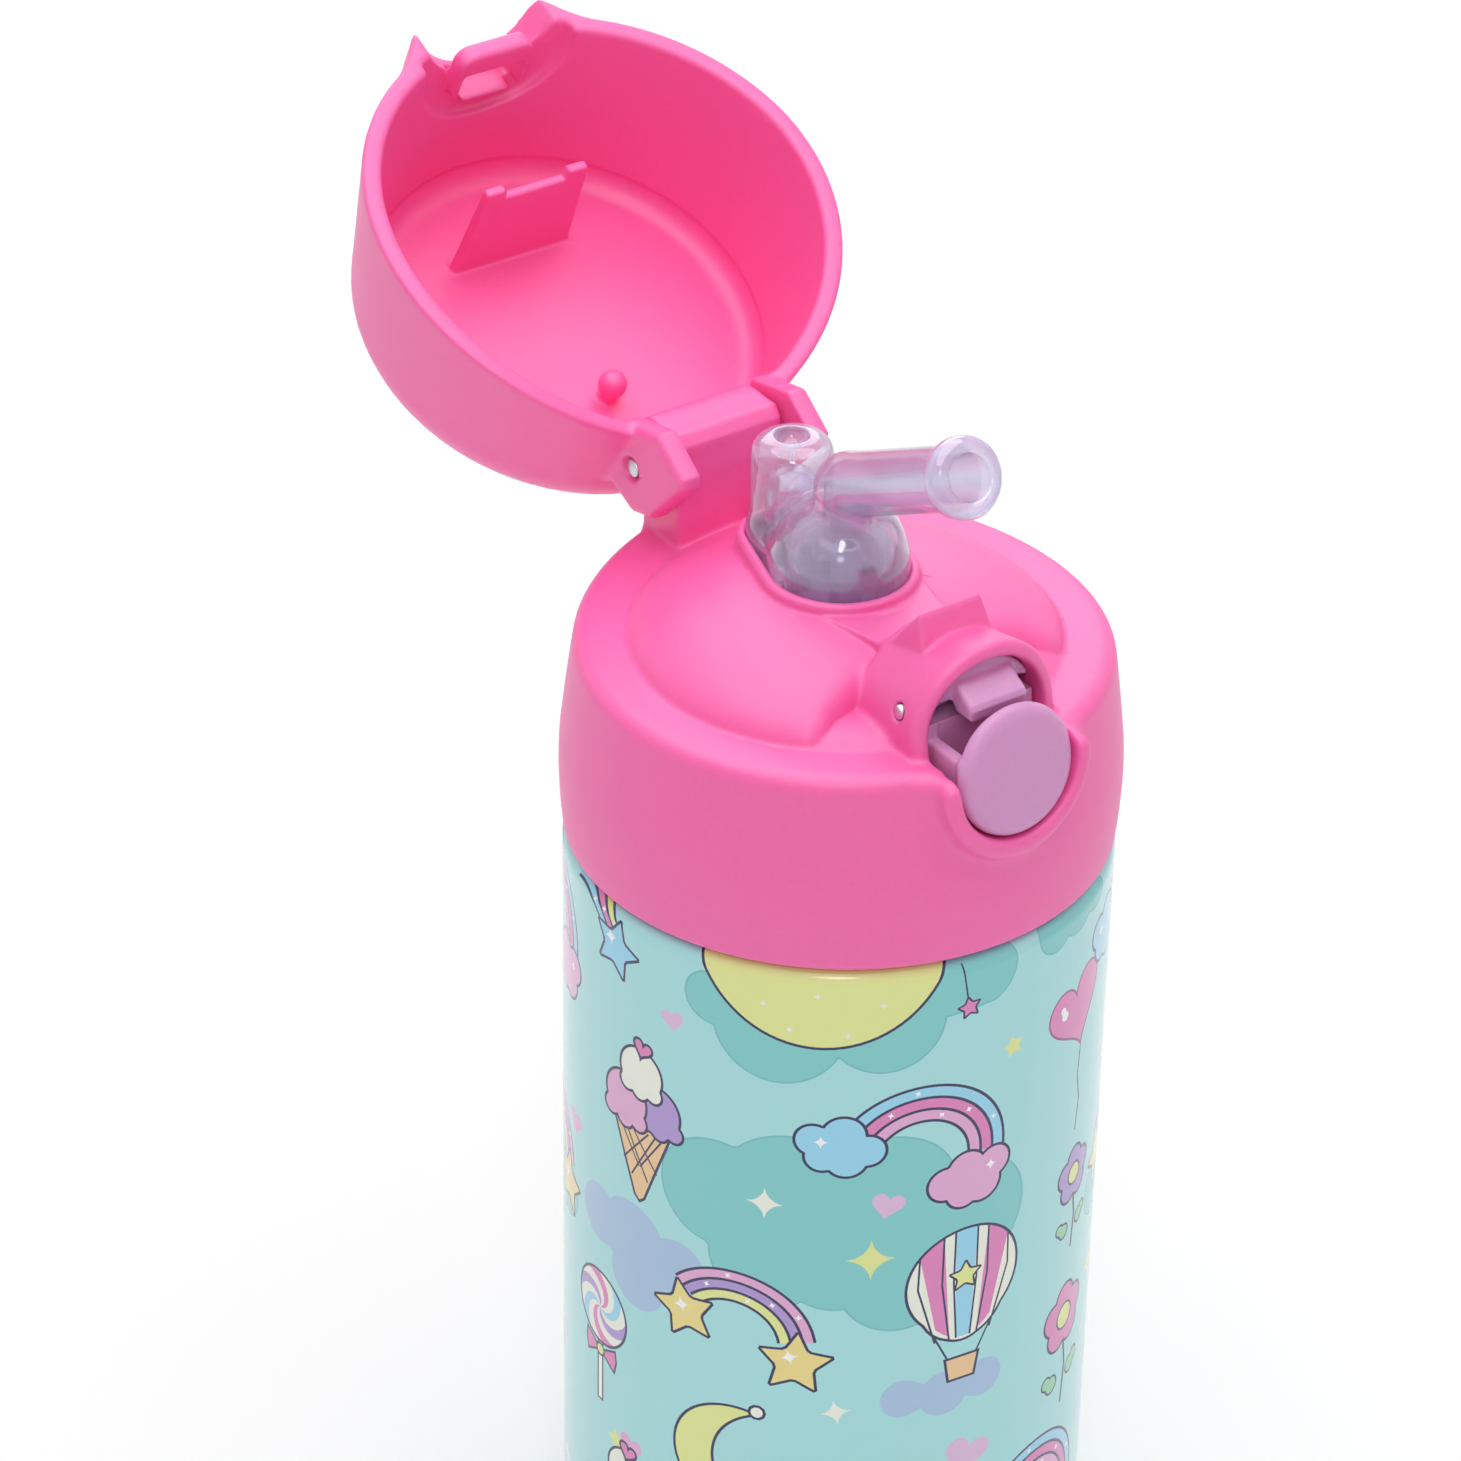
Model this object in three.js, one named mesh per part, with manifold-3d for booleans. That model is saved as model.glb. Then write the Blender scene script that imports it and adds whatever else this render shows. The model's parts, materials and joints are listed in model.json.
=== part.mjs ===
// Insulated kids water bottle with a flip cover, a soft folding straw spout and a push-button latch.
// Millimetres, +Z up. The origin is the centre of the underside of the base pad.
// The latch button faces -Y and the cover hinge is at +Y. The model stands open: the cover is swung back.
import * as THREE from 'three';
import * as BufferGeometryUtils from 'three/addons/utils/BufferGeometryUtils.js';
import Module from 'manifold-3d';

const wasm = await Module();
wasm.setup();

// Driving dimensions.
const ROUND = 56;                // segments round a full turn of a large ring
const FINE = 28;                 // segments round a small cylinder
const GAP = 0.3;                 // clearance between neighbouring pieces

const bodyRadius = 36.7;
const sheet = 0.6;               // steel sheet thickness
const collarBase = 130;          // height of the collar's lower edge
const neckRadius = 25.5;
const neckHeight = 15.4;         // above the collar's lower edge
const threadLead = 10;           // rise per turn of the two-start thread
const threadStarts = 2;

const deck = collarBase + 27.9;  // flat ring on top of the collar
const deckRadius = 35.0;
const skirtRadius = 37.0;
const domeRadius = 28.2;
const domeRise = 8.8;
const wall = 2.4;                // moulded plastic wall
const sleeveRadius = 32.0;       // outside of the collar's inner sleeve

const mouthRadius = 8.9;         // round end of the mouthpiece opening, on the bottle's axis
const ventRadius = 5.8;          // narrow end of the opening, round the vent post
const ventY = 11.4;
const lipTop = collarBase + 37.4;

const hingeY = 31.5;
const hingeZ = collarBase + 41.5;
const blockHalf = 8.3;           // half width of the hinge block
const earInner = 8.8;
const earOuter = 12.2;
const openAngle = 153.8 * Math.PI / 180;

const coverRimZ = collarBase + 28.3;
const coverRimRadius = 33.8;
const coverTopRadius = 30.4;
const coverTop = collarBase + 57.7;
const coverFillet = 8.0;
const coverWall = 2.7;
const coverInnerFillet = 3.7;
const coverRecess = 1.3;         // depth of the relief in the cover's wall round the button housing

const discZ = collarBase + 26.5;
const discRadius = 8.9;
const discFront = 37.2;          // centre of the disc's face, in front of the axis
const discLean = 10.5 * Math.PI / 180;
const archZ = collarBase + 29.8;
const archRadius = 11.3;
const archBore = 9.2;
const buttonTravel = 2.2;
const buttonPinY = -25.4;
const buttonPinZ = collarBase + 32.8;

const spoutBend = new THREE.Vector3(0, -1, collarBase + 52);
const spoutMouth = new THREE.Vector3(0, -24.6, collarBase + 62.9);
const spoutOuter = 4.3;
const spoutBore = 3.0;
const spoutBase = collarBase + 47.2;

// Solid helpers.
function solid(geometry) {
  const bare = geometry.index ? geometry.toNonIndexed() : geometry.clone();
  bare.deleteAttribute('normal');
  bare.deleteAttribute('uv');
  const merged = BufferGeometryUtils.mergeVertices(bare, 1e-4);
  return new wasm.Manifold(new wasm.Mesh({
    numProp: 3,
    vertProperties: new Float32Array(merged.attributes.position.array),
    triVerts: new Uint32Array(merged.index.array),
  }));
}

function geometryOf(shape) {
  const mesh = shape.getMesh();
  const geometry = new THREE.BufferGeometry();
  geometry.setAttribute('position', new THREE.BufferAttribute(new Float32Array(mesh.vertProperties), 3));
  geometry.setIndex(new THREE.BufferAttribute(new Uint32Array(mesh.triVerts), 1));
  geometry.computeVertexNormals();
  return geometry;
}

// A ring or disc about +Z from a closed outline of [radius, height] points, anticlockwise.
function turned(outline, segments = ROUND) {
  const points = outline.map(([r, z]) => new THREE.Vector2(r, z));
  points.push(points[0].clone());
  const geometry = new THREE.LatheGeometry(points, segments);
  geometry.rotateX(Math.PI / 2);
  return solid(geometry);
}

function cylinderZ(radius, low, high, x = 0, y = 0, segments = FINE) {
  const geometry = new THREE.CylinderGeometry(radius, radius, high - low, segments);
  geometry.rotateX(Math.PI / 2);
  geometry.translate(x, y, (low + high) / 2);
  return solid(geometry);
}

function cylinderX(radius, low, high, y, z, segments = FINE) {
  const geometry = new THREE.CylinderGeometry(radius, radius, high - low, segments);
  geometry.rotateZ(Math.PI / 2);
  geometry.translate((low + high) / 2, y, z);
  return solid(geometry);
}

function cylinderY(radius, low, high, x, z, segments = FINE) {
  const geometry = new THREE.CylinderGeometry(radius, radius, high - low, segments);
  geometry.translate(x, (low + high) / 2, z);
  return solid(geometry);
}

function box(x0, x1, y0, y1, z0, z1) {
  const geometry = new THREE.BoxGeometry(x1 - x0, y1 - y0, z1 - z0);
  geometry.translate((x0 + x1) / 2, (y0 + y1) / 2, (z0 + z1) / 2);
  return solid(geometry);
}

function ball(radius, x, y, z) {
  const geometry = new THREE.SphereGeometry(radius, 20, 12);
  geometry.translate(x, y, z);
  return solid(geometry);
}

// A prism across X from a side view outline of [y, z] points.
function sideProfile(outline, x0, x1) {
  const shape = new THREE.Shape(outline.map(([y, z]) => new THREE.Vector2(y, z)));
  const geometry = new THREE.ExtrudeGeometry(shape, { depth: x1 - x0, bevelEnabled: false, curveSegments: 12 });
  geometry.rotateZ(Math.PI / 2);
  geometry.rotateY(Math.PI / 2);
  geometry.translate(x0, 0, 0);
  return solid(geometry);
}

// An upright prism from a plan outline.
function plan(shape, low, high) {
  const geometry = new THREE.ExtrudeGeometry(shape, { depth: high - low, bevelEnabled: false, curveSegments: 11 });
  geometry.translate(0, 0, low);
  return solid(geometry);
}

// The mouthpiece opening's outline: a round front end on the axis and a narrower round end at the vent.
function teardrop(frontRadius, rearRadius) {
  const tilt = Math.asin((frontRadius - rearRadius) / ventY);
  const shape = new THREE.Shape();
  shape.absarc(0, 0, frontRadius, Math.PI - tilt, 2 * Math.PI + tilt, false);
  shape.absarc(0, ventY, rearRadius, tilt, Math.PI - tilt, false);
  shape.closePath();
  return shape;
}

// The button housing's outline seen from the front, as a prism along Y.
function housing(radius, lowZ, highZ, y0, y1) {
  const shape = new THREE.Shape();
  shape.absarc(0, lowZ, radius, Math.PI, 2 * Math.PI, false);
  shape.absarc(0, highZ, radius, 0, Math.PI, false);
  shape.closePath();
  const geometry = new THREE.ExtrudeGeometry(shape, { depth: y1 - y0, bevelEnabled: false, curveSegments: 12 });
  geometry.rotateX(Math.PI / 2);
  geometry.translate(0, y1, 0);
  return solid(geometry);
}

function union(...shapes) {
  return shapes.reduce((all, shape) => all.add(shape));
}

function sweep(path, section, steps, curveSegments = 10) {
  const geometry = new THREE.ExtrudeGeometry(section, { steps, extrudePath: path, curveSegments });
  return solid(geometry);
}

function disc(radius, hole = 0) {
  const shape = new THREE.Shape();
  shape.absarc(0, 0, radius, 0, 2 * Math.PI, false);
  if (hole > 0) {
    const inner = new THREE.Path();
    inner.absarc(0, 0, hole, 0, 2 * Math.PI, true);
    shape.holes.push(inner);
  }
  return shape;
}

class Helix extends THREE.Curve {
  constructor(radius, pitch, turns, place) {
    super();
    Object.assign(this, { radius, pitch, turns, place });
  }

  getPoint(t, target = new THREE.Vector3()) {
    const angle = 2 * Math.PI * this.turns * t;
    const along = this.pitch * this.turns * t;
    return target.copy(this.place(this.radius * Math.cos(angle), this.radius * Math.sin(angle), along));
  }
}

// One thread ridge: a trapezoid swept up a helix between two radii.
function threadRidge(rootRadius, crestRadius, startAngle, sweepAngle, lowZ) {
  const steps = Math.round(sweepAngle / (Math.PI / 18));
  const rootHalf = 1.0;
  const crestHalf = 0.5;
  const positions = [];
  const index = [];
  for (let i = 0; i <= steps; i += 1) {
    const angle = startAngle + sweepAngle * i / steps;
    const z = lowZ + threadLead * (sweepAngle * i / steps) / (2 * Math.PI);
    const ring = [[rootRadius, -rootHalf], [crestRadius, -crestHalf], [crestRadius, crestHalf], [rootRadius, rootHalf]];
    for (const [r, dz] of ring) {
      positions.push(r * Math.cos(angle), r * Math.sin(angle), z + dz);
    }
  }
  const outward = crestRadius > rootRadius;
  const face = (a, b, c) => (outward ? index.push(a, c, b) : index.push(a, b, c));
  for (let i = 0; i < steps; i += 1) {
    for (let k = 0; k < 4; k += 1) {
      const a = 4 * i + k;
      const b = 4 * i + (k + 1) % 4;
      face(a, b, b + 4);
      face(a, b + 4, a + 4);
    }
  }
  const last = 4 * steps;
  face(0, 2, 1);
  face(0, 3, 2);
  face(last, last + 1, last + 2);
  face(last, last + 2, last + 3);
  const geometry = new THREE.BufferGeometry();
  geometry.setAttribute('position', new THREE.BufferAttribute(new Float32Array(positions), 3));
  geometry.setIndex(index);
  return solid(geometry);
}

// Steel bottle.
function outerShell() {
  const r = bodyRadius;
  const top = collarBase - 0.4;
  let shell = turned([
    [33.6, 1.9], [35.5, 2.7], [r, 6], [r, top - 2.2], [r - 0.7, top - 0.7], [r - 2.2, top],
    [neckRadius + 1, top], [neckRadius, top + 1], [neckRadius, collarBase + neckHeight],
    [neckRadius - sheet, collarBase + neckHeight], [neckRadius - sheet, top + 0.7], [neckRadius + 0.7, top - sheet],
    [r - 2.4, top - sheet], [r - 1.2, top - 1.1], [r - sheet, top - 2.4], [r - sheet, 6.2], [35.1, 3.4], [33.6, 2.6],
  ]);
  for (let start = 0; start < threadStarts; start += 1) {
    const angle = 2 * Math.PI * start / threadStarts;
    shell = shell.add(threadRidge(neckRadius - 0.3, neckRadius + 1.3, angle, Math.PI * 1.1, collarBase + 4.5));
  }
  return shell;
}

function innerFlask() {
  const lip = collarBase + neckHeight + 0.9;
  const under = collarBase - 1.9;
  return turned([
    [0, 6], [30, 6], [33.7, 9.5], [33.7, under - 2.2], [32.4, under], [26.2, under + 0.2], [24.6, under + 1.6],
    [24.6, lip - sheet], [25.5, lip - sheet], [25.5, lip], [24, lip], [24, under + 1.2], [25.8, under - 0.6],
    [32, under - 0.8], [33.1, under - 2.6], [33.1, 9.8], [29.8, 6.6], [0, 6.6],
  ]);
}

function basePlate() {
  return turned([
    [0, 2.9], [4.8, 2.9], [5.8, 1.9], [33.2, 1.9], [33.2, 2.6], [6.2, 2.6], [5.2, 3.6], [0, 3.6],
  ]);
}

function vacuumSeal() {
  return turned([[0, 1.9], [4.3, 1.9], [4.0, 2.5], [0, 2.5]], FINE);
}

function getterPellet() {
  return turned([[0, 4.2], [5, 4.2], [5, 5.6], [0, 5.6]], FINE);
}

function basePad() {
  return turned([[0, 0], [30.9, 0], [31.5, 0.6], [31.5, 1.6], [0, 1.6]]);
}

// Screw collar.
function neckGasket() {
  const low = collarBase + neckHeight + 0.9 + GAP;
  return turned([[22.6, low], [26.4, low], [26.4, low + 1.3], [25.2, low + 1.9], [23.8, low + 1.9], [22.6, low + 1.3]]);
}

function threadedInsert() {
  const floor = collarBase + 1;
  const flange = collarBase + 18.9;
  const bore = neckRadius + 1.8;
  let insert = turned([
    [bore, floor], [sleeveRadius - 2, floor], [sleeveRadius - 2, flange + 2], [19, flange + 2], [19, flange],
    [bore, flange],
  ]);
  for (let start = 0; start < threadStarts; start += 1) {
    const angle = 2 * Math.PI * start / threadStarts + 0.3;
    insert = insert.add(threadRidge(bore + 0.3, neckRadius + 0.5, angle, Math.PI * 0.7, collarBase + 2.4));
  }
  return insert;
}

function dome(radius, rise, centre) {
  const outline = [[0, centre - 4], [radius, centre - 4]];
  for (let i = 0; i <= 10; i += 1) {
    const angle = (Math.PI / 2) * (i / 10);
    outline.push([Math.max(radius * Math.cos(angle), 0), centre + rise * Math.sin(angle)]);
  }
  outline[outline.length - 1][0] = 0;
  return turned(outline);
}

function collarShell() {
  const outer = turned([
    [0, collarBase], [36.6, collarBase], [skirtRadius, collarBase + 9], [35.3, deck - 1], [deckRadius - 0.4, deck],
    [0, deck],
  ]);
  const hollow = union(
    turned([[sleeveRadius, collarBase - 1], [34.0, collarBase - 1], [34.0, collarBase + 14], [33.2, deck - wall],
      [sleeveRadius, deck - wall]]),
    cylinderZ(sleeveRadius - 1.7, collarBase - 1, deck - wall, 0, 0, ROUND),
    cylinderZ(skirtRadius, collarBase - 1, collarBase + 2, 0, 0, ROUND)
      .subtract(cylinderZ(34.0, collarBase - 2, collarBase + 3, 0, 0, ROUND))
      .intersect(cylinderZ(34.0, collarBase - 2, collarBase + 3, 0, 0, ROUND)),
  );
  return outer.subtract(hollow);
}

function lidCollar() {
  let body = collarShell();
  const outerDome = dome(domeRadius, domeRise, deck);
  const innerDome = dome(domeRadius - wall, domeRise - wall + 0.6, deck - wall);
  const openingBoss = plan(teardrop(mouthRadius + 4.7, ventRadius + 4.2), deck - 1, collarBase + 35.6);
  const lip = plan(teardrop(mouthRadius + 1.9, ventRadius + 1.5), deck, lipTop);
  body = body.add(outerDome).subtract(innerDome);
  body = union(body, openingBoss.intersect(outerDome), lip);

  // Button housing over the front of the dome, and the thickened skirt round the disc.
  const floor = deck - 6.6;
  const rearY = -16.2;
  const shellHousing = housing(archRadius, collarBase + 26, archZ, -40, rearY)
    .intersect(box(-20, 20, -40, rearY, floor, collarBase + 60))
    .intersect(coverForm(coverWall - coverRecess + 0.35, coverTop, coverFillet))
    .intersect(sideProfile([
      [-40, collarBase], [0, collarBase], [0, collarBase + 32], [-27.5, collarBase + 41.4], [-40, collarBase + 43],
    ], -20, 20));
  const bezel = housing(archRadius + 0.6, collarBase + 26, collarBase + 26, -37.6, -30.4)
    .intersect(box(-20, 20, -37.6, -30.4, collarBase + 10, deck))
    .intersect(cylinderZ(skirtRadius + 0.5, collarBase + 2, deck, 0, 0, ROUND));
  const cavity = housing(archBore, discZ, archZ, -34.4, rearY - 1.8).intersect(union(
    box(-20, 20, -34.4, -24, floor + 1.5, collarBase + 60),
    box(-20, 20, -25, 0, floor + 1.5, collarBase + 36),
  ));
  const discPocket = housing(discRadius + 0.35, discZ, archZ, -60, -34.0);
  const keepOut = cylinderZ(sleeveRadius - 1.7, collarBase - 1, floor, 0, 0, ROUND);
  body = union(body, shellHousing, bezel.subtract(keepOut));

  // Wedge behind the housing that the folded spout rests on.
  const wedge = sideProfile([
    [-16.2, collarBase + 34], [-17.3, collarBase + 36.4], [-21.5, collarBase + 42], [-22.4, collarBase + 41.6],
    [-24.6, collarBase + 37],
  ], -5.2, 5.2);
  body = body.add(wedge).subtract(cavity).subtract(discPocket);

  // Hinge block at the rear, with its spring slot, and the low shoulders either side of it.
  const crown = [];
  for (let i = 0; i <= 10; i += 1) {
    const angle = Math.PI * (i / 10);
    crown.push([hingeY + 5.9 * Math.cos(angle), hingeZ + 5.9 * Math.sin(angle)]);
  }
  const block = sideProfile([
    [hingeY - 5.9, deck - 6], [34.4, deck - 8], [34.4, collarBase + 35.9], [36.6, collarBase + 38], ...crown,
  ], -blockHalf, blockHalf);
  const shoulderOutline = [[25, deck - 1], [34.6, deck - 1], [34.6, deck + 3], [33, deck + 3], [25, deck - 0.2]];
  const skirtSolid = cylinderZ(deckRadius - 0.4, deck - 2, deck + 5, 0, 0, ROUND);
  for (const side of [-1, 1]) {
    const edges = [side * (earOuter + 0.6), side * 18].sort((a, b) => a - b);
    body = body.add(sideProfile(shoulderOutline, edges[0], edges[1]).intersect(skirtSolid));
  }
  body = body.add(block.subtract(cylinderZ(sleeveRadius - 1.7, 0, deck - wall, 0, 0, ROUND)));
  const springSlot = sideProfile([
    [hingeY - 4.1, deck + 3], [40, deck + 3], [40, hingeZ + 2.5], [hingeY + 2, hingeZ + 4.4], [hingeY - 4.1, hingeZ + 2],
  ], -5, 5);
  body = body.subtract(springSlot);
  body = body.subtract(cylinderX(1.6, -20, 20, hingeY, hingeZ));

  // Opening for the mouthpiece, its snap pocket underneath, and the cross pin's holes.
  body = body.subtract(plan(teardrop(mouthRadius, ventRadius), deck - 5, lipTop + 1));
  body = body.subtract(plan(teardrop(mouthRadius + 3.2, ventRadius + 2.7), deck - 5, collarBase + 33.4));
  body = body.subtract(cylinderX(1.55, -20, 20, buttonPinY, buttonPinZ));
  return body;
}

// Mouthpiece.
function mouthpieceBase() {
  const flangeLow = collarBase + 31.4;
  const flangeTop = collarBase + 33.1;
  const plug = plan(teardrop(mouthRadius - GAP, ventRadius - GAP), flangeLow, lipTop - 0.6);
  const flange = plan(teardrop(mouthRadius + 2.8, ventRadius + 2.3), flangeLow, flangeTop);
  const bulb = turned([
    [0, lipTop - 1], [8.3, lipTop - 1], [8.3, lipTop + 2.4], [7.4, lipTop + 5.6], [5.4, lipTop + 8.2],
    [spoutOuter, spoutBase - 1.2], [spoutOuter, spoutBase - GAP], [0, spoutBase - GAP],
  ], 40);
  const cavity = turned([
    [0, flangeLow - 1], [6.7, flangeLow - 1], [6.7, lipTop + 2], [5.8, lipTop + 4.8], [3.9, lipTop + 7.2],
    [spoutBore, spoutBase - 1.6], [spoutBore, spoutBase + 1], [0, spoutBase + 1],
  ], 40);
  const ventTop = collarBase + 50.9;
  const post = union(
    cylinderZ(5.2, lipTop - 1, ventTop - 2.2, 0, ventY),
    turned([[0, 0], [5.2, 0], [4.7, 1.4], [3.6, 2.2], [0, 2.2]], FINE).translate([0, ventY, ventTop - 2.2]),
  );
  const ventBore = union(
    cylinderZ(0.9, flangeLow - 1, ventTop + 1, 0, ventY, 16),
    cylinderZ(3.2, flangeLow - 1, ventTop - 6, 0, ventY, 20),
    turned([[0, 0], [0.9, 0], [2.9, 2.6], [2.9, 4], [0, 4]], 20).translate([0, ventY, ventTop - 2.6]),
  );
  return union(plug, flange, bulb, post).subtract(cavity).subtract(ventBore);
}

function spoutTube() {
  const lean = new THREE.Vector3().subVectors(spoutMouth, spoutBend).normalize();
  const start = new THREE.Vector3(0, 0, spoutBase);
  const corner = new THREE.Vector3(0, 0, collarBase + 51.6);
  const path = new THREE.CatmullRomCurve3([
    start,
    new THREE.Vector3(0, 0, spoutBase + 1.8),
    corner.clone().addScaledVector(lean, 2.6).add(new THREE.Vector3(0, 0.4, -0.6)),
    corner.clone().addScaledVector(lean, 7),
    spoutMouth,
  ], false, 'centripetal');
  const ringBack = spoutMouth.clone().addScaledVector(lean, -2.6);
  const ringPath = new THREE.LineCurve3(ringBack, spoutMouth);
  const borePath = new THREE.LineCurve3(ringBack.clone().addScaledVector(lean, -2), spoutMouth.clone().addScaledVector(lean, 2));
  const tube = sweep(path, disc(spoutOuter, spoutBore), 14);
  const ring = sweep(ringPath, disc(5.4), 1);
  return tube.add(ring.subtract(sweep(borePath, disc(spoutBore), 1)));
}

function mouthpieceRetainer() {
  const low = collarBase + 27.6;
  const top = collarBase + 29.6;
  return plan(teardrop(mouthRadius + 2.8, ventRadius + 2.3), low, top)
    .subtract(cylinderZ(3.3, low - 1, top + 1))
    .subtract(cylinderZ(2.4, low - 1, top + 1, 0, ventY));
}

function strawConnector() {
  const plateLow = collarBase + 29.9;
  return turned([
    [1.9, collarBase + 18], [2.7, collarBase + 18], [2.7, plateLow], [6.2, plateLow], [6.2, plateLow + 1.2],
    [3.0, plateLow + 1.2], [3.0, collarBase + 43], [2.2, collarBase + 43.6], [1.9, collarBase + 43.6],
  ], FINE);
}

function drinkingStraw() {
  return turned([[3.0, 14], [3.7, 14], [3.7, collarBase + 27.2], [3.0, collarBase + 27.2]], FINE);
}

// Flip cover, built closed and then swung open about its hinge.
function coverForm(shrink, top, filletRadius) {
  const low = coverRimZ - 3;
  const slope = (coverRimRadius - coverTopRadius) / (coverTop - coverFillet - coverRimZ);
  const radiusAt = (z) => coverRimRadius - shrink - slope * (z - coverRimZ);
  const straightTop = top - filletRadius;
  const outline = [[0, low], [radiusAt(low), low], [radiusAt(straightTop), straightTop]];
  for (let i = 1; i < 8; i += 1) {
    const angle = (Math.PI / 2) * (i / 8);
    outline.push([
      radiusAt(straightTop) - filletRadius * (1 - Math.cos(angle)),
      straightTop + filletRadius * Math.sin(angle),
    ]);
  }
  outline.push([radiusAt(straightTop) - filletRadius, top], [0, top]);
  return turned(outline);
}

function catchLoop() {
  const yBack = -30.3;
  const yFront = -31.7;
  const plate = box(-6, 6, yFront, yBack, collarBase + 28.9, collarBase + 38.5)
    .intersect(housing(archBore - 0.5, archZ - 3, archZ, -40, -20));
  const window = box(-4.9, 4.9, yFront - 1, yBack + 1, collarBase + 31.6, collarBase + 36.0);
  return plate.subtract(window);
}

function ribPlate() {
  const shape = new THREE.Shape([
    new THREE.Vector2(-9.2, collarBase + 56), new THREE.Vector2(-8.2, collarBase + 38.9),
    new THREE.Vector2(-3.6, collarBase + 38.9), new THREE.Vector2(-3.2, collarBase + 41.2),
    new THREE.Vector2(3.2, collarBase + 41.2), new THREE.Vector2(3.6, collarBase + 38.9),
    new THREE.Vector2(8.2, collarBase + 38.9), new THREE.Vector2(9.2, collarBase + 56),
  ]);
  const geometry = new THREE.ExtrudeGeometry(shape, { depth: 1.3, bevelEnabled: false });
  geometry.rotateX(Math.PI / 2);
  geometry.translate(0, -13.6, 0);
  return solid(geometry);
}

function flipCover() {
  const inside = coverForm(coverWall, coverTop - 2.8, coverInnerFillet);
  let cover = coverForm(0, coverTop, coverFillet);

  // Visor over the latch notch; its two lower ends are the pointed horns.
  const visorPlan = new THREE.Shape([
    new THREE.Vector2(-14, -30.4), new THREE.Vector2(-10.3, -35.4), new THREE.Vector2(0, -35.9),
    new THREE.Vector2(10.3, -35.4), new THREE.Vector2(14, -30.4),
  ]);
  const visorSide = sideProfile([
    [-36, coverRimZ], [-35.4, collarBase + 33.6], [-34.4, collarBase + 37.2], [-31.4, collarBase + 40.5],
    [-20, collarBase + 40.5], [-20, coverRimZ],
  ], -20, 20);
  cover = cover.add(plan(visorPlan, coverRimZ, collarBase + 41).intersect(visorSide));

  // The rim: level at the front and sides, sweeping up towards the hinge.
  const rim = [
    [-50, collarBase], [50, collarBase], [50, collarBase + 60], [40, collarBase + 47], [33.6, collarBase + 40.6],
    [29.1, collarBase + 35.2], [24, collarBase + 33], [16.8, collarBase + 30.7], [8, collarBase + 29.3],
    [0, coverRimZ + 0.3], [-10, coverRimZ], [-50, coverRimZ],
  ];
  cover = cover.subtract(inside).subtract(sideProfile(rim, -50, 50));

  // Hinge ears beyond the rear wall.
  const ear = [
    [27.2, collarBase + 36], [33.5, collarBase + 31.9], [40.0, collarBase + 33.4], [41.0, collarBase + 35.6],
    [37.8, collarBase + 45.4], [33.5, collarBase + 49], [27.2, collarBase + 47],
  ];
  for (const side of [-1, 1]) {
    const edges = [side * earInner, side * earOuter].sort((a, b) => a - b);
    cover = cover.add(sideProfile(ear, edges[0], edges[1]));
  }

  // Room for the hinge block, the button housing and the latch button.
  const relief = coverForm(coverWall - coverRecess, coverTop - 5, coverFillet);
  cover = cover.subtract(box(-earInner, earInner, 24.4, 60, collarBase, collarBase + 48.6));
  cover = cover.subtract(housing(archRadius + 0.5, discZ, archZ, -40, -20).intersect(relief));
  cover = cover.subtract(cylinderY(discRadius + 0.9, -60, -25, 0, discZ, 48));
  cover = cover.add(catchLoop());
  cover = cover.add(ribPlate().intersect(cylinderZ(27, collarBase, coverTop - 1, 0, 0, ROUND)));
  const pip = union(
    cylinderZ(1.5, collarBase + 51.4, coverTop - 1.5, 0, ventY, 16),
    ball(1.8, 0, ventY, collarBase + 51.5),
  );
  cover = cover.add(pip);
  return cover.subtract(cylinderX(1.6, -20, 20, hingeY, hingeZ));
}

function hingePin() {
  const half = earOuter - 1.2;
  return union(cylinderX(1.25, -half, half, hingeY, hingeZ, 20));
}

function hingeSpring() {
  const turns = 5;
  const pitch = 1.5;
  const length = turns * pitch;
  const coil = new Helix(2.45, pitch, turns, (a, b, along) => (
    new THREE.Vector3(along - length / 2, hingeY + a, hingeZ + b)));
  const end = hingeY + 2.45;
  const legs = [-1, 1].map((side) => cylinderZ(
    0.45, hingeZ - 7, hingeZ + 0.4, side * length / 2, end, 10));
  return union(sweep(coil, disc(0.45), turns * 12, 3), ...legs);
}

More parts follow.
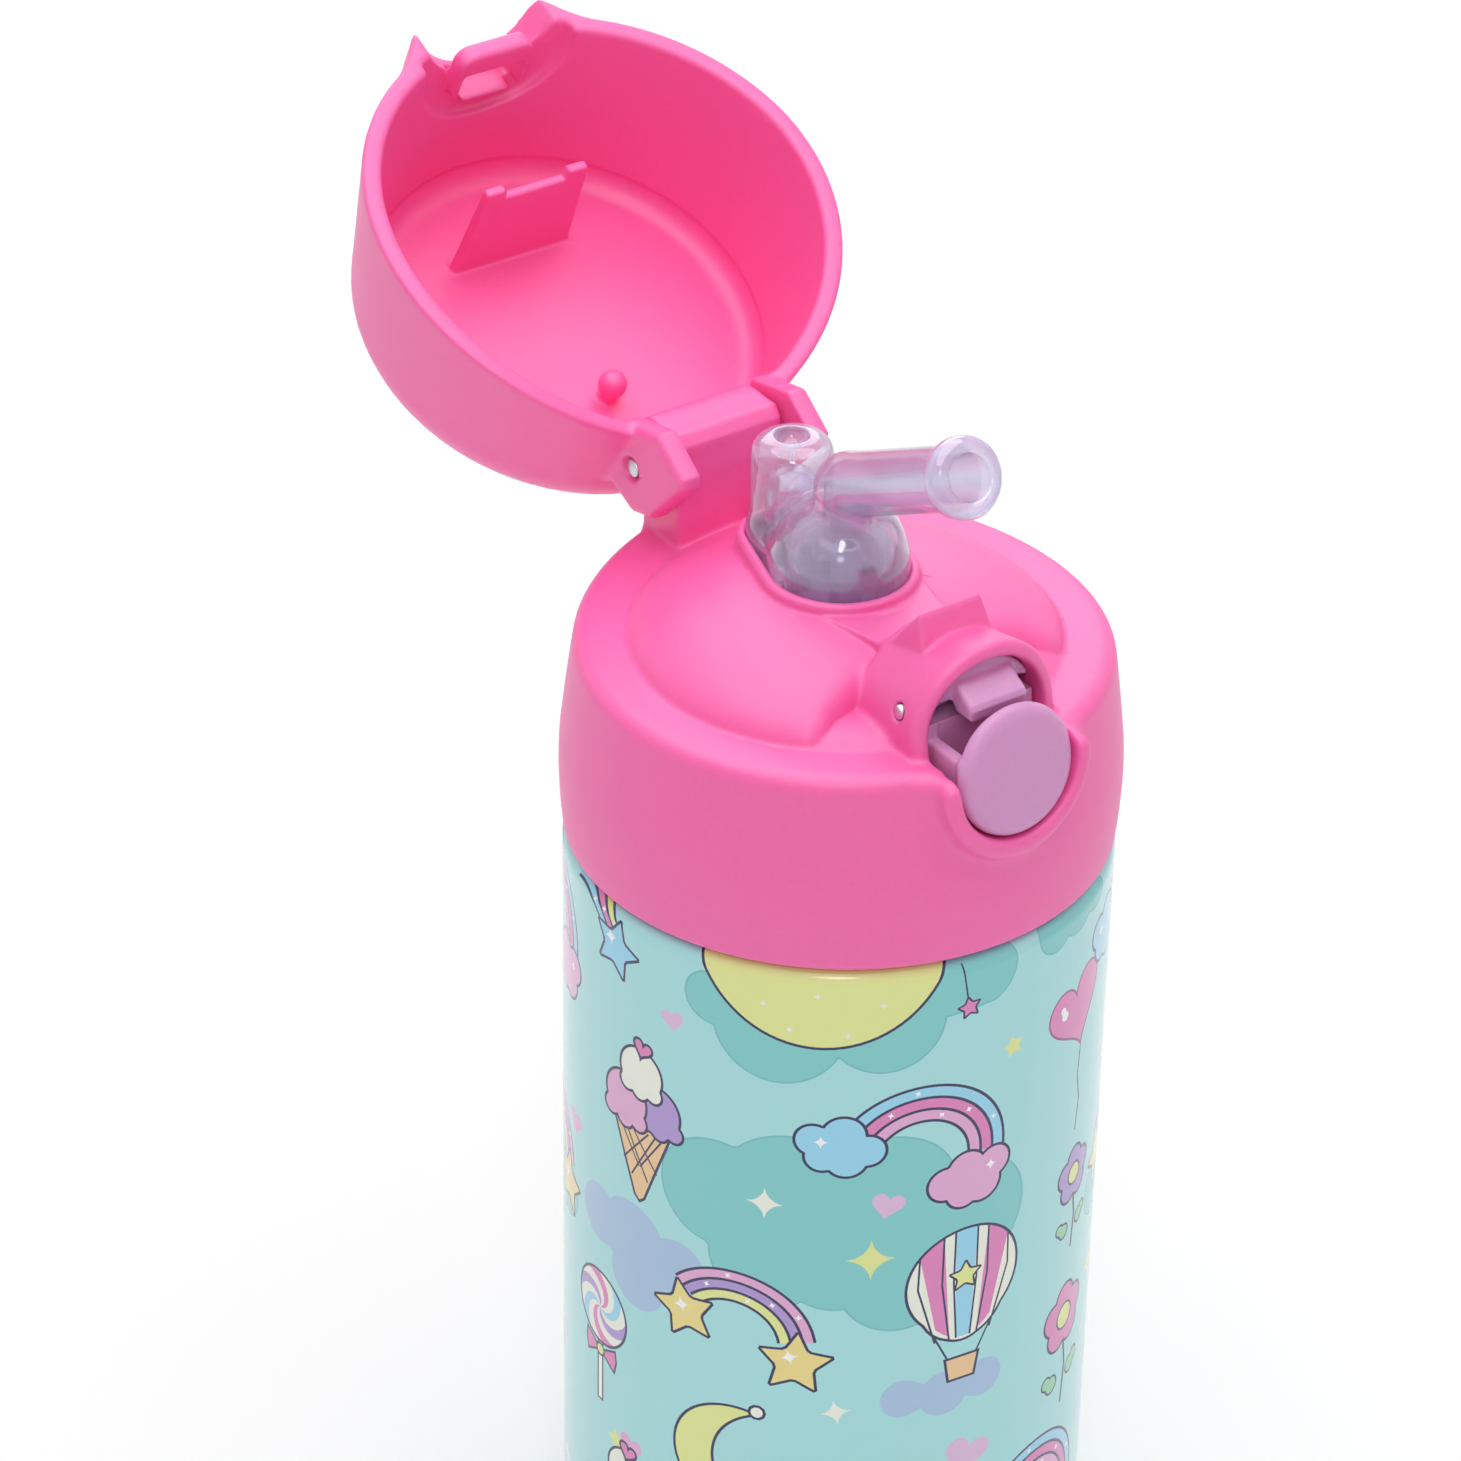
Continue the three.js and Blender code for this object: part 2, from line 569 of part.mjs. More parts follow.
// Latch button.
function pushButton() {
  const cap = turned([
    [0, -1.5], [discRadius, -1.5], [discRadius, -0.9], [discRadius - 0.9, -0.1], [0, 0.35],
  ], 48);
  const back = turned([[0, -3.2], [5.2, -3.2], [5.2, -1.4], [0, -1.4]], 32);
  const low = deck - 4.8;
  const lean = (shape) => shape
    .rotate([90, 0, 0])
    .rotate([-discLean * 180 / Math.PI, 0, 0])
    .translate([0, -discFront, discZ]);
  const face = lean(cap).add(lean(back).intersect(box(-9, 9, -60, 0, low, collarBase + 28)));
  const inside = housing(archBore - GAP - 0.2, discZ, archZ, -35.6, -19);
  const arms = [-1, 1].map((side) => {
    const edges = [side * 6.6, side * 9].sort((a, b) => a - b);
    return box(edges[0], edges[1], -35.4, -21, low, collarBase + 28.0);
  });
  const web = box(-7, 7, -35.6, -33.9, low, collarBase + 28.0);
  const block = box(-8.6, 8.6, -29.6, -20.6, low, collarBase + 35.5);
  const nose = sideProfile([
    [-28, collarBase + 32.6], [-28, collarBase + 36.2], [-29.8, collarBase + 35.7], [-32.2, collarBase + 33.9],
    [-32.2, collarBase + 32.6],
  ], -4.4, 4.4);
  const springBore = cylinderY(3.5, -26.6, -10, 0, collarBase + 27.6, 24);
  const pinSlot = union(
    cylinderX(1.55, -20, 20, buttonPinY, buttonPinZ, 16),
    cylinderX(1.55, -20, 20, buttonPinY - buttonTravel, buttonPinZ, 16),
    box(-20, 20, buttonPinY - buttonTravel, buttonPinY, buttonPinZ - 1.55, buttonPinZ + 1.55),
  );
  const loopRoom = box(-6.5, 6.5, -34.1, -29.0, collarBase + 28.2, collarBase + 32.5);
  return union(block, ...arms, web)
    .intersect(inside)
    .subtract(loopRoom)
    .add(nose)
    .add(face)
    .subtract(springBore)
    .subtract(pinSlot);
}

function buttonPin() {
  return cylinderX(1.2, -10.6, 10.6, buttonPinY, buttonPinZ, 20);
}

function buttonSpring() {
  const turns = 4;
  const start = -18.85;
  const length = 4.8;
  const coil = new Helix(2.7, length / turns, turns, (a, b, along) => (
    new THREE.Vector3(a, start - along, collarBase + 27.6 + b)));
  return sweep(coil, disc(0.45), turns * 12, 3);
}

// Finishes.
const finishes = {
  mintPaint: { color: 0xa3d8d6, roughness: 0.25, metalness: 0.1 },
  steel: { color: 0xc8cbcf, roughness: 0.3, metalness: 1 },
  pinkPlastic: { color: 0xf468b4, roughness: 0.45, metalness: 0 },
  lilacPlastic: { color: 0xcf9cc8, roughness: 0.4, metalness: 0 },
  clearSilicone: { color: 0xd9cfe4, roughness: 0.25, metalness: 0 },
  whitePlastic: { color: 0xf1eef2, roughness: 0.5, metalness: 0 },
  greySilicone: { color: 0xb9bcc2, roughness: 0.7, metalness: 0 },
};

function piece(name, shape, finish) {
  const material = new THREE.MeshStandardMaterial(finishes[finish]);
  const mesh = new THREE.Mesh(geometryOf(shape), material);
  mesh.name = name;
  return mesh;
}

// A group that swings its closed-position pieces back about the hinge axis.
function swungOpen(...pieces) {
  const swing = new THREE.Group();
  swing.position.set(0, hingeY, hingeZ);
  swing.rotation.x = -openAngle;
  for (const mesh of pieces) {
    mesh.position.set(0, -hingeY, -hingeZ);
    swing.add(mesh);
  }
  return swing;
}

const bottle = new THREE.Group();
bottle.add(
  piece('outer_shell', outerShell(), 'mintPaint'),
  piece('inner_flask', innerFlask(), 'steel'),
  piece('base_plate', basePlate(), 'steel'),
  piece('vacuum_seal', vacuumSeal(), 'steel'),
  piece('getter_pellet', getterPellet(), 'steel'),
  piece('base_pad', basePad(), 'greySilicone'),
  piece('neck_gasket', neckGasket(), 'greySilicone'),
  piece('threaded_insert', threadedInsert(), 'whitePlastic'),
  piece('lid_collar', lidCollar(), 'pinkPlastic'),
  piece('mouthpiece_base', mouthpieceBase(), 'clearSilicone'),
  piece('spout_tube', spoutTube(), 'clearSilicone'),
  piece('mouthpiece_retainer', mouthpieceRetainer(), 'whitePlastic'),
  piece('straw_connector', strawConnector(), 'whitePlastic'),
  piece('drinking_straw', drinkingStraw(), 'whitePlastic'),
  piece('hinge_spring', hingeSpring(), 'steel'),
  piece('push_button', pushButton(), 'lilacPlastic'),
  piece('button_pin', buttonPin(), 'steel'),
  piece('button_spring', buttonSpring(), 'steel'),
  swungOpen(
    piece('flip_cover', flipCover(), 'pinkPlastic'),
    piece('hinge_pin', hingePin(), 'steel'),
  ),
);

export default bottle;
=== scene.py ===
import json
import math
from math import cos, pi, radians, sin, sqrt

import bmesh
import bpy
import numpy as np
import openvdb
from mathutils import Matrix, Vector
from mathutils.geometry import delaunay_2d_cdt
from numpy import hypot, maximum, minimum, where


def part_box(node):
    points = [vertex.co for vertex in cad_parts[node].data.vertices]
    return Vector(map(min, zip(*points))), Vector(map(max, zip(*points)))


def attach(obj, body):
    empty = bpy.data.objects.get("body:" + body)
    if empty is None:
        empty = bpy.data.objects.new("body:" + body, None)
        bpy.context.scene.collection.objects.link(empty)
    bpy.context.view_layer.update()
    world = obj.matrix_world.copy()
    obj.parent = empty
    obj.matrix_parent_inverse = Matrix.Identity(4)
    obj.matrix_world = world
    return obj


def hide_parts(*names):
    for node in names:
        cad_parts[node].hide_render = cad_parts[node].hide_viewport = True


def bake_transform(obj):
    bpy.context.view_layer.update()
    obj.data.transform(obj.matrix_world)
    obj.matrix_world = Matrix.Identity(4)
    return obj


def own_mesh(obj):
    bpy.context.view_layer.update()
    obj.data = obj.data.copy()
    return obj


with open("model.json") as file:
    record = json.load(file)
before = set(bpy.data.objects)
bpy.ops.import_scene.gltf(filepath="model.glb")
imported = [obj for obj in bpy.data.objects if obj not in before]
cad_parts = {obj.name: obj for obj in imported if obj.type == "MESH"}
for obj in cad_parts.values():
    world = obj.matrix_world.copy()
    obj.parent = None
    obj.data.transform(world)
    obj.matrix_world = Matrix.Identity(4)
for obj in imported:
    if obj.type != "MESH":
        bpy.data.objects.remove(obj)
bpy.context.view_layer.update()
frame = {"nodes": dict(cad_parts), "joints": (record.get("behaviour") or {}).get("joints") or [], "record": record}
JOINTS = {joint["name"]: joint for joint in frame["joints"]}

# Lengths below are in millimetres. The lid's heights are counted from the collar's lower edge.
MM = 0.001
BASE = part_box("lid_collar")[0].z / MM
BODY_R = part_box("outer_shell")[1].x / MM
HINGE_Y = JOINTS["cover_hinge"]["pos_m"][1] / MM
HINGE_Z = JOINTS["cover_hinge"]["pos_m"][2] / MM - BASE
OPEN_DEG = JOINTS["cover_hinge"]["range_deg"][1]

# The lid's deck, and the angle from the front, in degrees, past which deck and cover rim sweep up.
DECK, RISE_FROM = 27.9, 72.9
# The button's disc, its housing's arch, the pin through both, and the cover's pin.
DISC_Z, DISC_R, DISC_Y, DISC_LEAN = 26.5, 8.9, -37.2, radians(10.5)
ARCH_Z, ARCH_R = 29.9, 11.3
PIN_R, PIN_SLOT_R, HINGE_PIN_R = 1.0, 1.5, 1.3
# The mouthpiece: the centres of its opening's two ends, its vent post, and the peg that enters the post.
FRONT_C, REAR_C = 1.4, 12.4
POST_Y, PEG_Y, PEG_TIP = 12.1, 12.4, 51.8
SPOUT_START, SPOUT_END = (0, -1.0, 50.8), (0, -24.6, 62.9)
SPOUT_LENGTH = math.dist(SPOUT_START, SPOUT_END)
# The cover: its rim's height, its walls' taper, and the gap between its hinge ears.
COVER_RIM, COVER_TAPER, EAR_GAP = 28.3, 0.159, 8.75
STEP = 0.3
FINE_STEP = 0.22
SHARP = radians(38)


def middle(node):
    low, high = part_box(node)
    return (low + high) / (2 * MM)


BUTTON_PIN = middle("button_pin")


# Fields: solids as signed distance on a grid, turned into a mesh at distance nought.
def polygon_distance(outline, px, py):
    """Signed distance to a closed outline, negative inside."""
    nearest = np.full(np.broadcast(px, py).shape, 1e9, np.float32)
    inside = np.zeros(nearest.shape, bool)
    for (ax, ay), (bx, by) in zip(outline, outline[1:] + outline[:1]):
        ex, ey = bx - ax, by - ay
        t = np.clip(((px - ax) * ex + (py - ay) * ey) / max(ex * ex + ey * ey, 1e-9), 0, 1)
        nearest = minimum(nearest, hypot(px - ax - t * ex, py - ay - t * ey))
        if ay != by:
            crosses = ((ay > py) != (by > py)) & (px < ex * (py - ay) / ey + ax)
            inside ^= crosses
    return where(inside, -nearest, nearest).astype(np.float32)


def joined(a, b, soft=0.01):
    """The union of two distances, with a fillet about soft wide."""
    h = np.clip(0.5 + 0.5 * (b - a) / soft, 0, 1)
    return b + (a - b) * h - soft * h * (1 - h)


def common(a, b, soft=0.01):
    return -joined(-a, -b, soft)


def without(a, b, soft=0.01):
    return -joined(-a, b, soft)


class Field:
    """A box of space cut into cells; x, y and z are its axes, ready to broadcast."""

    def __init__(self, low, high, step):
        self.low, self.step = low, step
        counts = [int(math.ceil((h - l) / step)) + 1 for l, h in zip(low, high)]
        x, y, z = [np.float32(l) + np.float32(step) * np.arange(n, dtype=np.float32) for l,
                n in zip(low, counts)]
        self.axes = self.x, self.y, self.z = x[:, None, None], y[None, :, None], z[None, None, :]

    def radius(self, y=0.0, x=0.0):
        return hypot(self.x - x, self.y - y)

    def turned(self, outline, y=0.0):
        """A solid of revolution about a vertical axis; outline points are (radius, height)."""
        r = self.radius(y)[:, :, 0]
        radii = np.arange(0, float(r.max()) + self.step, self.step / 2, dtype=np.float32)
        outline = [(p[0] if p[0] > 0 else -30, p[1]) for p in outline]
        table = polygon_distance(outline, radii[:, None], self.z[0])
        return np.stack([np.interp(r, radii, column) for column in table.T], -1).astype(np.float32)

    def across(self, outline):
        """The side view outline of (y, z) points as a distance, without limits across x."""
        return polygon_distance(outline, self.y[0], self.z[0])[None]

    def upright(self, outline):
        """The plan outline of (x, y) points as a distance, without limits in z."""
        return polygon_distance(outline, self.x[:, :, 0], self.y[:, :, 0])[:, :, None]

    def teardrop(self, front, rear):
        """Plan distance to the mouthpiece opening's outline: a wide round front and a narrower rear."""
        span = REAR_C - FRONT_C
        b = (front - rear) / span
        a = sqrt(1 - b * b)
        px, py = np.abs(self.x), self.y - FRONT_C
        k = -b * px + a * py
        flank = px * a + py * b - front
        return where(k < 0, hypot(px, py) - front, where(k > a * span, hypot(px, py - span) - rear, flank))

    def capsule(self, a, b, ra, rb=None):
        """A round bar between two points, with a radius at each end."""
        rb = ra if rb is None else rb
        d = [q - p for p, q in zip(a, b)]
        t = sum((q - a[i]) * d[i] for i, q in enumerate(self.axes)) / sum(c * c for c in d)
        t = np.clip(t, 0, 1)
        gap = sum((q - a[i] - t * d[i]) ** 2 for i, q in enumerate(self.axes))
        return np.sqrt(gap) - (ra + (rb - ra) * t)

    def along(self, a, b):
        """(distance along the line from a, distance from the line)."""
        d = np.array([q - p for p, q in zip(a, b)], float)
        d /= np.linalg.norm(d)
        gaps = [q - a[i] for i, q in enumerate(self.axes)]
        t = sum(g * c for g, c in zip(gaps, d))
        return t, np.sqrt(maximum(sum(g * g for g in gaps) - t * t, 0))

    def mesh(self, distance, name, swing=0.0):
        """The surface at distance nought as an object, with shading normals from the field itself."""
        step = self.step
        shape = np.broadcast_shapes(self.x.shape, self.y.shape, self.z.shape)
        d = np.ascontiguousarray(np.broadcast_to(distance, shape), np.float32)
        d = np.clip(d, -3 * step, 3 * step)
        grid = openvdb.FloatGrid(3 * step)
        grid.copyFromArray(d)
        points, triangles, quads = grid.convertToPolygons(isovalue=0.0, adaptivity=0.02)
        normals = np.stack([sample(g, points) for g in np.gradient(d)], 1)
        normals /= maximum(np.linalg.norm(normals, axis=1, keepdims=True), 1e-6)
        points = points * step + np.array(self.low)
        if swing:
            turn = np.array(Matrix.Rotation(radians(swing), 3, "X"))
            pivot = np.array([0, HINGE_Y, HINGE_Z])
            points = (points - pivot) @ turn.T + pivot
            normals = normals @ turn.T
        points = (points + np.array([0, 0, BASE])) * MM
        return make_object(name, points, quads.tolist() + triangles.tolist(), normals)


def sample(values, points):
    """Trilinear reading of a grid at points given in cells."""
    p = np.clip(points, 0, np.array(values.shape) - 1.001)
    i = p.astype(int)
    f = p - i
    out = np.zeros(len(p))
    for dx in (0, 1):
        for dy in (0, 1):
            for dz in (0, 1):
                w = np.abs(1 - dx - f[:, 0]) * np.abs(1 - dy - f[:, 1]) * np.abs(1 - dz - f[:, 2])
                out += w * values[i[:, 0] + dx, i[:, 1] + dy, i[:, 2] + dz]
    return out


def make_object(name, points, faces, normals=None):
    mesh = bpy.data.meshes.new(name)
    mesh.from_pydata(points, [], faces)
    mesh.validate()
    obj = bpy.data.objects.new(name, mesh)
    bpy.context.scene.collection.objects.link(obj)
    mesh.shade_smooth()
    if normals is not None:
        mesh.normals_split_custom_set_from_vertices(normals.tolist())
    return obj


def skirt_radius(z):
    heights = [0, 0.4, 4, 9, 13, 20, DECK, 40]
    return np.interp(z, heights, [36.4, 36.65, 37.0, 37.2, 37.1, 36.3, 35.25, 33.8])


def rising(f, low, rate):
    """A height that is level at the front and sweeps up towards the hinge."""
    angle = np.degrees(np.abs(np.arctan2(f.x, -f.y)))
    return low + rate * maximum(angle - RISE_FROM, 0) ** 2


def hinge_distance(f):
    return hypot(f.y - HINGE_Y, f.z - HINGE_Z)


def collar():
    f = Field((-39, -40.5, -1.5), (39, 38.5, 49.5), STEP)
    x, y, z, side = *f.axes, np.abs(f.x)
    r = f.radius()
    skirt = r - skirt_radius(z)
    # Bezel round the disc, merging into the skirt below the deck's edge.
    bezel_z, bezel_r = 26.2, 11.6
    ring = hypot(x, minimum(z - bezel_z, 0)) - bezel_r
    ring = common(ring, -37.75 + 0.10 * (z - bezel_z) - y, 1.8)
    skirt = joined(skirt, maximum(ring, y + 29), 2.6)
    plate = common(skirt, z - rising(f, DECK, 0.00034), 2.2)
    # Low dome inside the deck, scooped away on both sides of the button housing.
    wide, high, foot = 28.6, 9.4, 27.2
    k0 = np.sqrt((r / wide) ** 2 + ((z - foot) / high) ** 2)
    k1 = np.sqrt((r / wide ** 2) ** 2 + ((z - foot) / high ** 2) ** 2)
    dome = k0 * (k0 - 1) / maximum(k1, 1e-3)
    scoop = f.upright([(-20.5, -22.6), (-15.5, -18.8), (-9.5, -17.2), (9.5, -17.2), (15.5, -18.8),
            (20.5, -22.6), (26, -34), (-26, -34)])
    dome = without(dome, maximum(scoop, 29.6 - z), 3.4)
    solid = joined(plate, dome, 0.6)
    # Raised flat strip from the mouthpiece lip to the wedge.
    strip = common(side - np.interp(-y, [6, 17.5], [8.0, 5.6]), z - 36.3, 0.35)
    strip = common(strip, maximum(-y - 17.8, y + 5), 0.5)
    strip = maximum(strip, 27 - z)
    solid = joined(solid, strip, 0.35)
    # Button housing: a barrel that leans down towards the rear, open at the front.
    tilt = radians(12)
    ry = (y + 30) * cos(tilt) - (z - ARCH_Z) * sin(tilt)
    rz = (y + 30) * sin(tilt) + (z - ARCH_Z) * cos(tilt)
    barrel = hypot(x, maximum(rz, 0)) - ARCH_R
    relief = r - (32.05 - COVER_TAPER * (z - COVER_RIM))
    barrel = common(common(barrel, ry - 12.8, 1.2), relief, 1.2)
    barrel = maximum(barrel, 20 - z)
    solid = joined(solid, barrel, 0.9)
    # Wedge that holds the folded spout.
    wedge = common(side - 4.9 - 0.16 * (43 - z), (y + 16.6) * 0.8 + (z - 36.7) * 0.6, 0.4)
    wedge = common(wedge, (y + 22.0) * -0.913 + (z - 42.6) * 0.407, 0.4)
    wedge = maximum(wedge, 33 - z)
    solid = joined(solid, wedge, 0.35)
    # Lip round the mouthpiece.
    lip = common(f.teardrop(10.5, 7.0), z - 37.6, 0.9)
    solid = joined(solid, maximum(lip, 30 - z), 0.4)
    # Hinge block.
    knuckle = 5.9
    front = HINGE_Y - knuckle
    crown = f.across([(front, 20), (34.3, 20), (34.3, 36), (36.4, 38), (37.3, 41.5), (front, 41.5)])
    crown = joined(hinge_distance(f) - knuckle, crown, 0.5)
    squared = f.across([(front, 24), (33, 24), (33, 47.4), (HINGE_Y - 4.6, 47.4), (front, 45.8)])
    block = joined(crown, squared, 0.6)
    block = common(block, side - 8.35, 1.0)
    solid = joined(solid, maximum(block, 22 - z), 0.9)
    # Hollows.
    mouth = where(z > ARCH_Z, hypot(x, z - ARCH_Z), hypot(x, minimum(z - DISC_Z, 0))) - 9.3
    pocket = maximum(mouth, y + 34.2)
    chamber = maximum(hypot(x, maximum(rz, 0)) - 9.15, maximum(y + 18.2, -y - 34.6))
    chamber = maximum(chamber, 22.6 - z)
    chamber = maximum(chamber, where(y > -24.5, z - 36.0, -5))
    solid = without(solid, pocket, 0.9)
    solid = without(solid, chamber, 0.9)
    solid = without(solid, maximum(f.teardrop(9.15, 5.75), 28 - z), 0.6)
    # Underside: the skirt's hollow and the dome's, kept away from the housing and the hinge block.
    under = f.turned([(0, -5), (34.2, -5), (34.2, 14), (32.8, 25.2), (27.0, 25.2), (24.0, 28.6), (18, 31.2),
            (11, 33.0), (0, 33.4)])
    under = without(under, maximum(side - ARCH_R, maximum(y + 14.5, 20.5 - z)))
    under = without(under, maximum(side - 8.3, maximum(24.5 - y, 22 - z)))
    under = without(under, maximum(scoop - 2.2, 27.2 - z))
    solid = without(solid, under, 0.4)
    solid = common(solid, -z, 0.5)
    inner = HINGE_Y - 4.1
    slot = f.across([(inner, 30.5), (60, 30.5), (60, 44), (HINGE_Y + 2, 45.4), (inner, 43.5)])
    slot = maximum(slot, side - 5)
    solid = without(solid, slot, 0.3)
    solid = without(solid, hinge_distance(f) - HINGE_PIN_R - 0.2, 0.2)
    solid = without(solid, hypot(y - BUTTON_PIN.y, z + BASE - BUTTON_PIN.z) - PIN_R - 0.12, 0.3)
    return f.mesh(solid, "collar_moulding")


def polar(x, y, radius, degrees):
    return x + radius * cos(radians(degrees)), y + radius * sin(radians(degrees))


def arc(x, y, radius, start, end, count=10):
    """Points on an arc between two angles in degrees."""
    return [polar(x, y, radius, start + (end - start) * i / count) for i in range(count + 1)]


def cover():
    f = Field((-37, -38.5, 26.5), (37, 43, 59.5), STEP)
    x, y, z, side = *f.axes, np.abs(f.x)
    r = f.radius()
    solid = f.turned([(0, 15), (35.7, 15), (30.6, 48.2)] + arc(21.0, 48.15, 9.58, 5, 90) + [(0, 57.73)])
    # Visor over the latch notch; its lower ends are the pointed horns.
    flank = [(15.5, -28), (13.2, -31.6), (11.4, -33.9), (10.0, -35.5)]
    visor = f.upright([(-px, py) for px, py in flank] + [(0, -35.9)] + flank[::-1])
    brow = f.across([(-36.0, 20), (-36.0, 28), (-35.0, 34), (-33.6, 38), (-31.5, 41), (-20, 41), (-20, 20)])
    solid = joined(solid, maximum(visor, brow), 1.6)
    inside = f.turned([(0, 10), (33.3, 10), (27.9, 51.4)] + arc(24.9, 51.7, 3.2, 5, 90) + [(0, 54.9)])
    relief = common(hypot(x, maximum(z - ARCH_Z, 0)) - ARCH_R - 0.6,
            r - (32.5 - COVER_TAPER * (z - COVER_RIM)), 0.8)
    relief = maximum(relief, y + 14)
    solid = without(solid, joined(inside, relief, 0.4), 0.5)
    # Rim, sweeping up towards the hinge.
    solid = common(solid, rising(f, COVER_RIM, 0.00108) - z, 0.9)
    # Hinge ears.
    ear = f.across([(26.8, 37.0), (28.6, 35.6), (33.5, 31.9), (40.4, 33.2), (41.2, 34.6), (38.0, 44.6),
            (34.4, 47.5), (27.0, 47.5)])
    ear = common(ear, side - 12.1, 1.4)
    ear = common(ear, EAR_GAP - side, 0.5)
    solid = joined(solid, ear, 1.0)
    gap = maximum(side - EAR_GAP, maximum(24 - y, z - 48.5))
    solid = without(solid, gap, 0.6)
    notch = maximum(hypot(x, z - 22.9) - 11.4, y + 20)
    solid = without(solid, notch, 0.5)
    # Catch loop inside the notch.
    loop = hypot(maximum(side - 3.6, 0), maximum(30.9 - z, 0)) - 2.3
    loop = common(loop, maximum(z - 38, hypot(x, maximum(z - ARCH_Z, 0)) - 8.7), 0.3)
    loop = common(loop, np.abs(y + 30.0) - 1.45, 0.8)
    solid = joined(solid, loop, 0.5)
    # Room for the button's disc and for the nose that catches on the loop.
    seat = maximum(hypot(x, z - DISC_Z) - DISC_R - 0.6, y + 31.4)
    solid = without(solid, seat, 0.3)
    window = common(side - 4.9, np.abs(z - 34.8) - 2.6, 0.8)
    window = maximum(window, maximum(-y - 33.1, y + 26))
    solid = without(solid, window, 0.3)
    # Rib that presses the folded spout.
    half = 8.2 + (z - 38.7) * 0.075
    edge = where(side < 4.9, 40.4, 38.75)
    rib = common(common(side - half, np.abs(y + 14.3) - 0.75, 0.4), edge - z, 0.5)
    rib = maximum(rib, z - 56)
    solid = joined(solid, rib, 0.5)
    # Peg with a ball at its tip, which enters the vent post.
    solid = joined(solid, f.capsule((0, PEG_Y, 52), (0, PEG_Y, 56), 1.25), 0.6)
    solid = joined(solid, f.capsule((0, PEG_Y, PEG_TIP), (0, PEG_Y, PEG_TIP + 0.1), 2.0), 0.5)
    # The pin's bore, wider at its mouths.
    bore = hinge_distance(f) - HINGE_PIN_R
    solid = without(solid, bore - 0.15, 0.2)
    solid = without(solid, maximum(bore - 0.45, 11.5 - side), 0.3)
    return f.mesh(solid, "flip_cover_moulding", swing=-OPEN_DEG)


def button():
    f = Field((-10.2, -40, 16.5), (10.2, -19.5, 39.5), STEP / 2)
    x, y, z, side = *f.axes, np.abs(f.x)
    c, s = cos(DISC_LEAN), sin(DISC_LEAN)
    out = (DISC_Y - y) * c + (z - DISC_Z) * s
    up = (y - DISC_Y) * s + (z - DISC_Z) * c
    rr = hypot(x, up)
    disc = common(common(rr - DISC_R, out - 0.4 + 0.45 * (rr / DISC_R) ** 2, 1.9), -out - 1.7, 0.5)
    low = DECK - 4.6
    arms = common(np.abs(side - 7.1) - 1.05, maximum(z - 29.4, 25.0 - z), 0.7)
    arms = maximum(arms, maximum(-y - 35.2, y + 20.8))
    web = maximum(maximum(side - 7.5, np.abs(y + 35.0) - 0.9), maximum(z - 27.2, low - z))
    bow = hypot(x, maximum(z - ARCH_Z, 0)) - 8.75
    block = common(bow, maximum(-y - 28.6, y + 25), 0.8)
    tail = maximum(maximum(bow, z - 35.4), maximum(-y - 28, y + 20.8))
    body = maximum(minimum(block, tail), low - z)
    nose = f.across([(-27, 32.6), (-27, 37.0), (-29.3, 36.6), (-32.2, 34.9), (-32.6, 34.2), (-32.3, 32.6)])
    nose = common(nose, side - 4.5, 0.8)
    solid = joined(joined(disc, minimum(arms, web), 0.9), body, 0.5)
    hollow = maximum(maximum(side - 6.4, -y - 34.2), maximum(y + 28.4, 24.2 - z))
    solid = without(solid, maximum(hollow, rr - 30), 0.4)
    solid = joined(solid, nose, 0.6)
    spring = maximum(hypot(x, z - 27.6) - 3.5, -y - 26.6)
    solid = without(solid, spring, 0.2)
    # The button slides along its pin by the length of this slot.
    half = 1.1
    slot = maximum(np.abs(y - BUTTON_PIN.y + half) - half, 0)
    slot = hypot(slot, z + BASE - BUTTON_PIN.z) - PIN_SLOT_R
    solid = without(solid, slot, 0.2)
    return f.mesh(solid, "push_button_moulding")


def mouthpiece():
    f = Field((-12, -28.5, 33.0), (12, 20, 69), FINE_STEP)
    z = f.z
    r = f.radius(FRONT_C)
    bulb = np.sqrt(r ** 2 + (maximum(z - 39.5, 0) * 1.07) ** 2) - 8.85
    riser = f.capsule((0, 0, 40), (0, 0, 49.9), 4.55, 4.45)
    a, off = f.along(SPOUT_START, SPOUT_END)
    wall, end = off - 4.25, a - SPOUT_LENGTH
    tube = common(wall, maximum(-a - 3.6, end), 3.4)
    tube = where(a > 4, maximum(wall, end), tube)
    ring = common(off - 5.35, np.abs(end + 1.5) - 1.6, 1.4)
    post_r = f.radius(POST_Y)
    post = common(post_r - 5.45, z - 52.0 + 0.03 * post_r ** 2, 2.2)
    sill = common(f.teardrop(8.85, 5.45), z - 40.2, 2.0)
    solid = joined(joined(joined(bulb, post, 1.2), sill, 1.5), riser, 2.2)
    solid = joined(joined(solid, tube, 0.9), ring, 0.8)
    solid = maximum(solid, 34 - z)
    # Hollows: the dome's chamber, the drinking channel and the vent.
    chamber = np.sqrt(r ** 2 + (maximum(z - 38.5, 0) * 1.1) ** 2) - 7.2
    channel = joined(f.capsule((0, 0, 40), (0, 0, 50.3), 3.15), f.capsule(SPOUT_START, SPOUT_END, 3.1), 0.8)
    channel = minimum(channel, where(a > 3, off - 3.05, 9))
    vent = common(post_r - 3.5, z - 47.0, 3.2)
    vent = joined(vent, f.radius(PEG_Y) - 0.42, 0.5)
    # Seat in the post's top for the ball on the cover's peg.
    dimple = f.capsule((0, PEG_Y, PEG_TIP), (0, PEG_Y, 55), 2.25)
    solid = without(solid, joined(chamber, channel, 1.2), 0.3)
    solid = without(solid, minimum(vent, dimple), 0.3)
    return marked_thick(f.mesh(solid, "silicone_mouthpiece"))


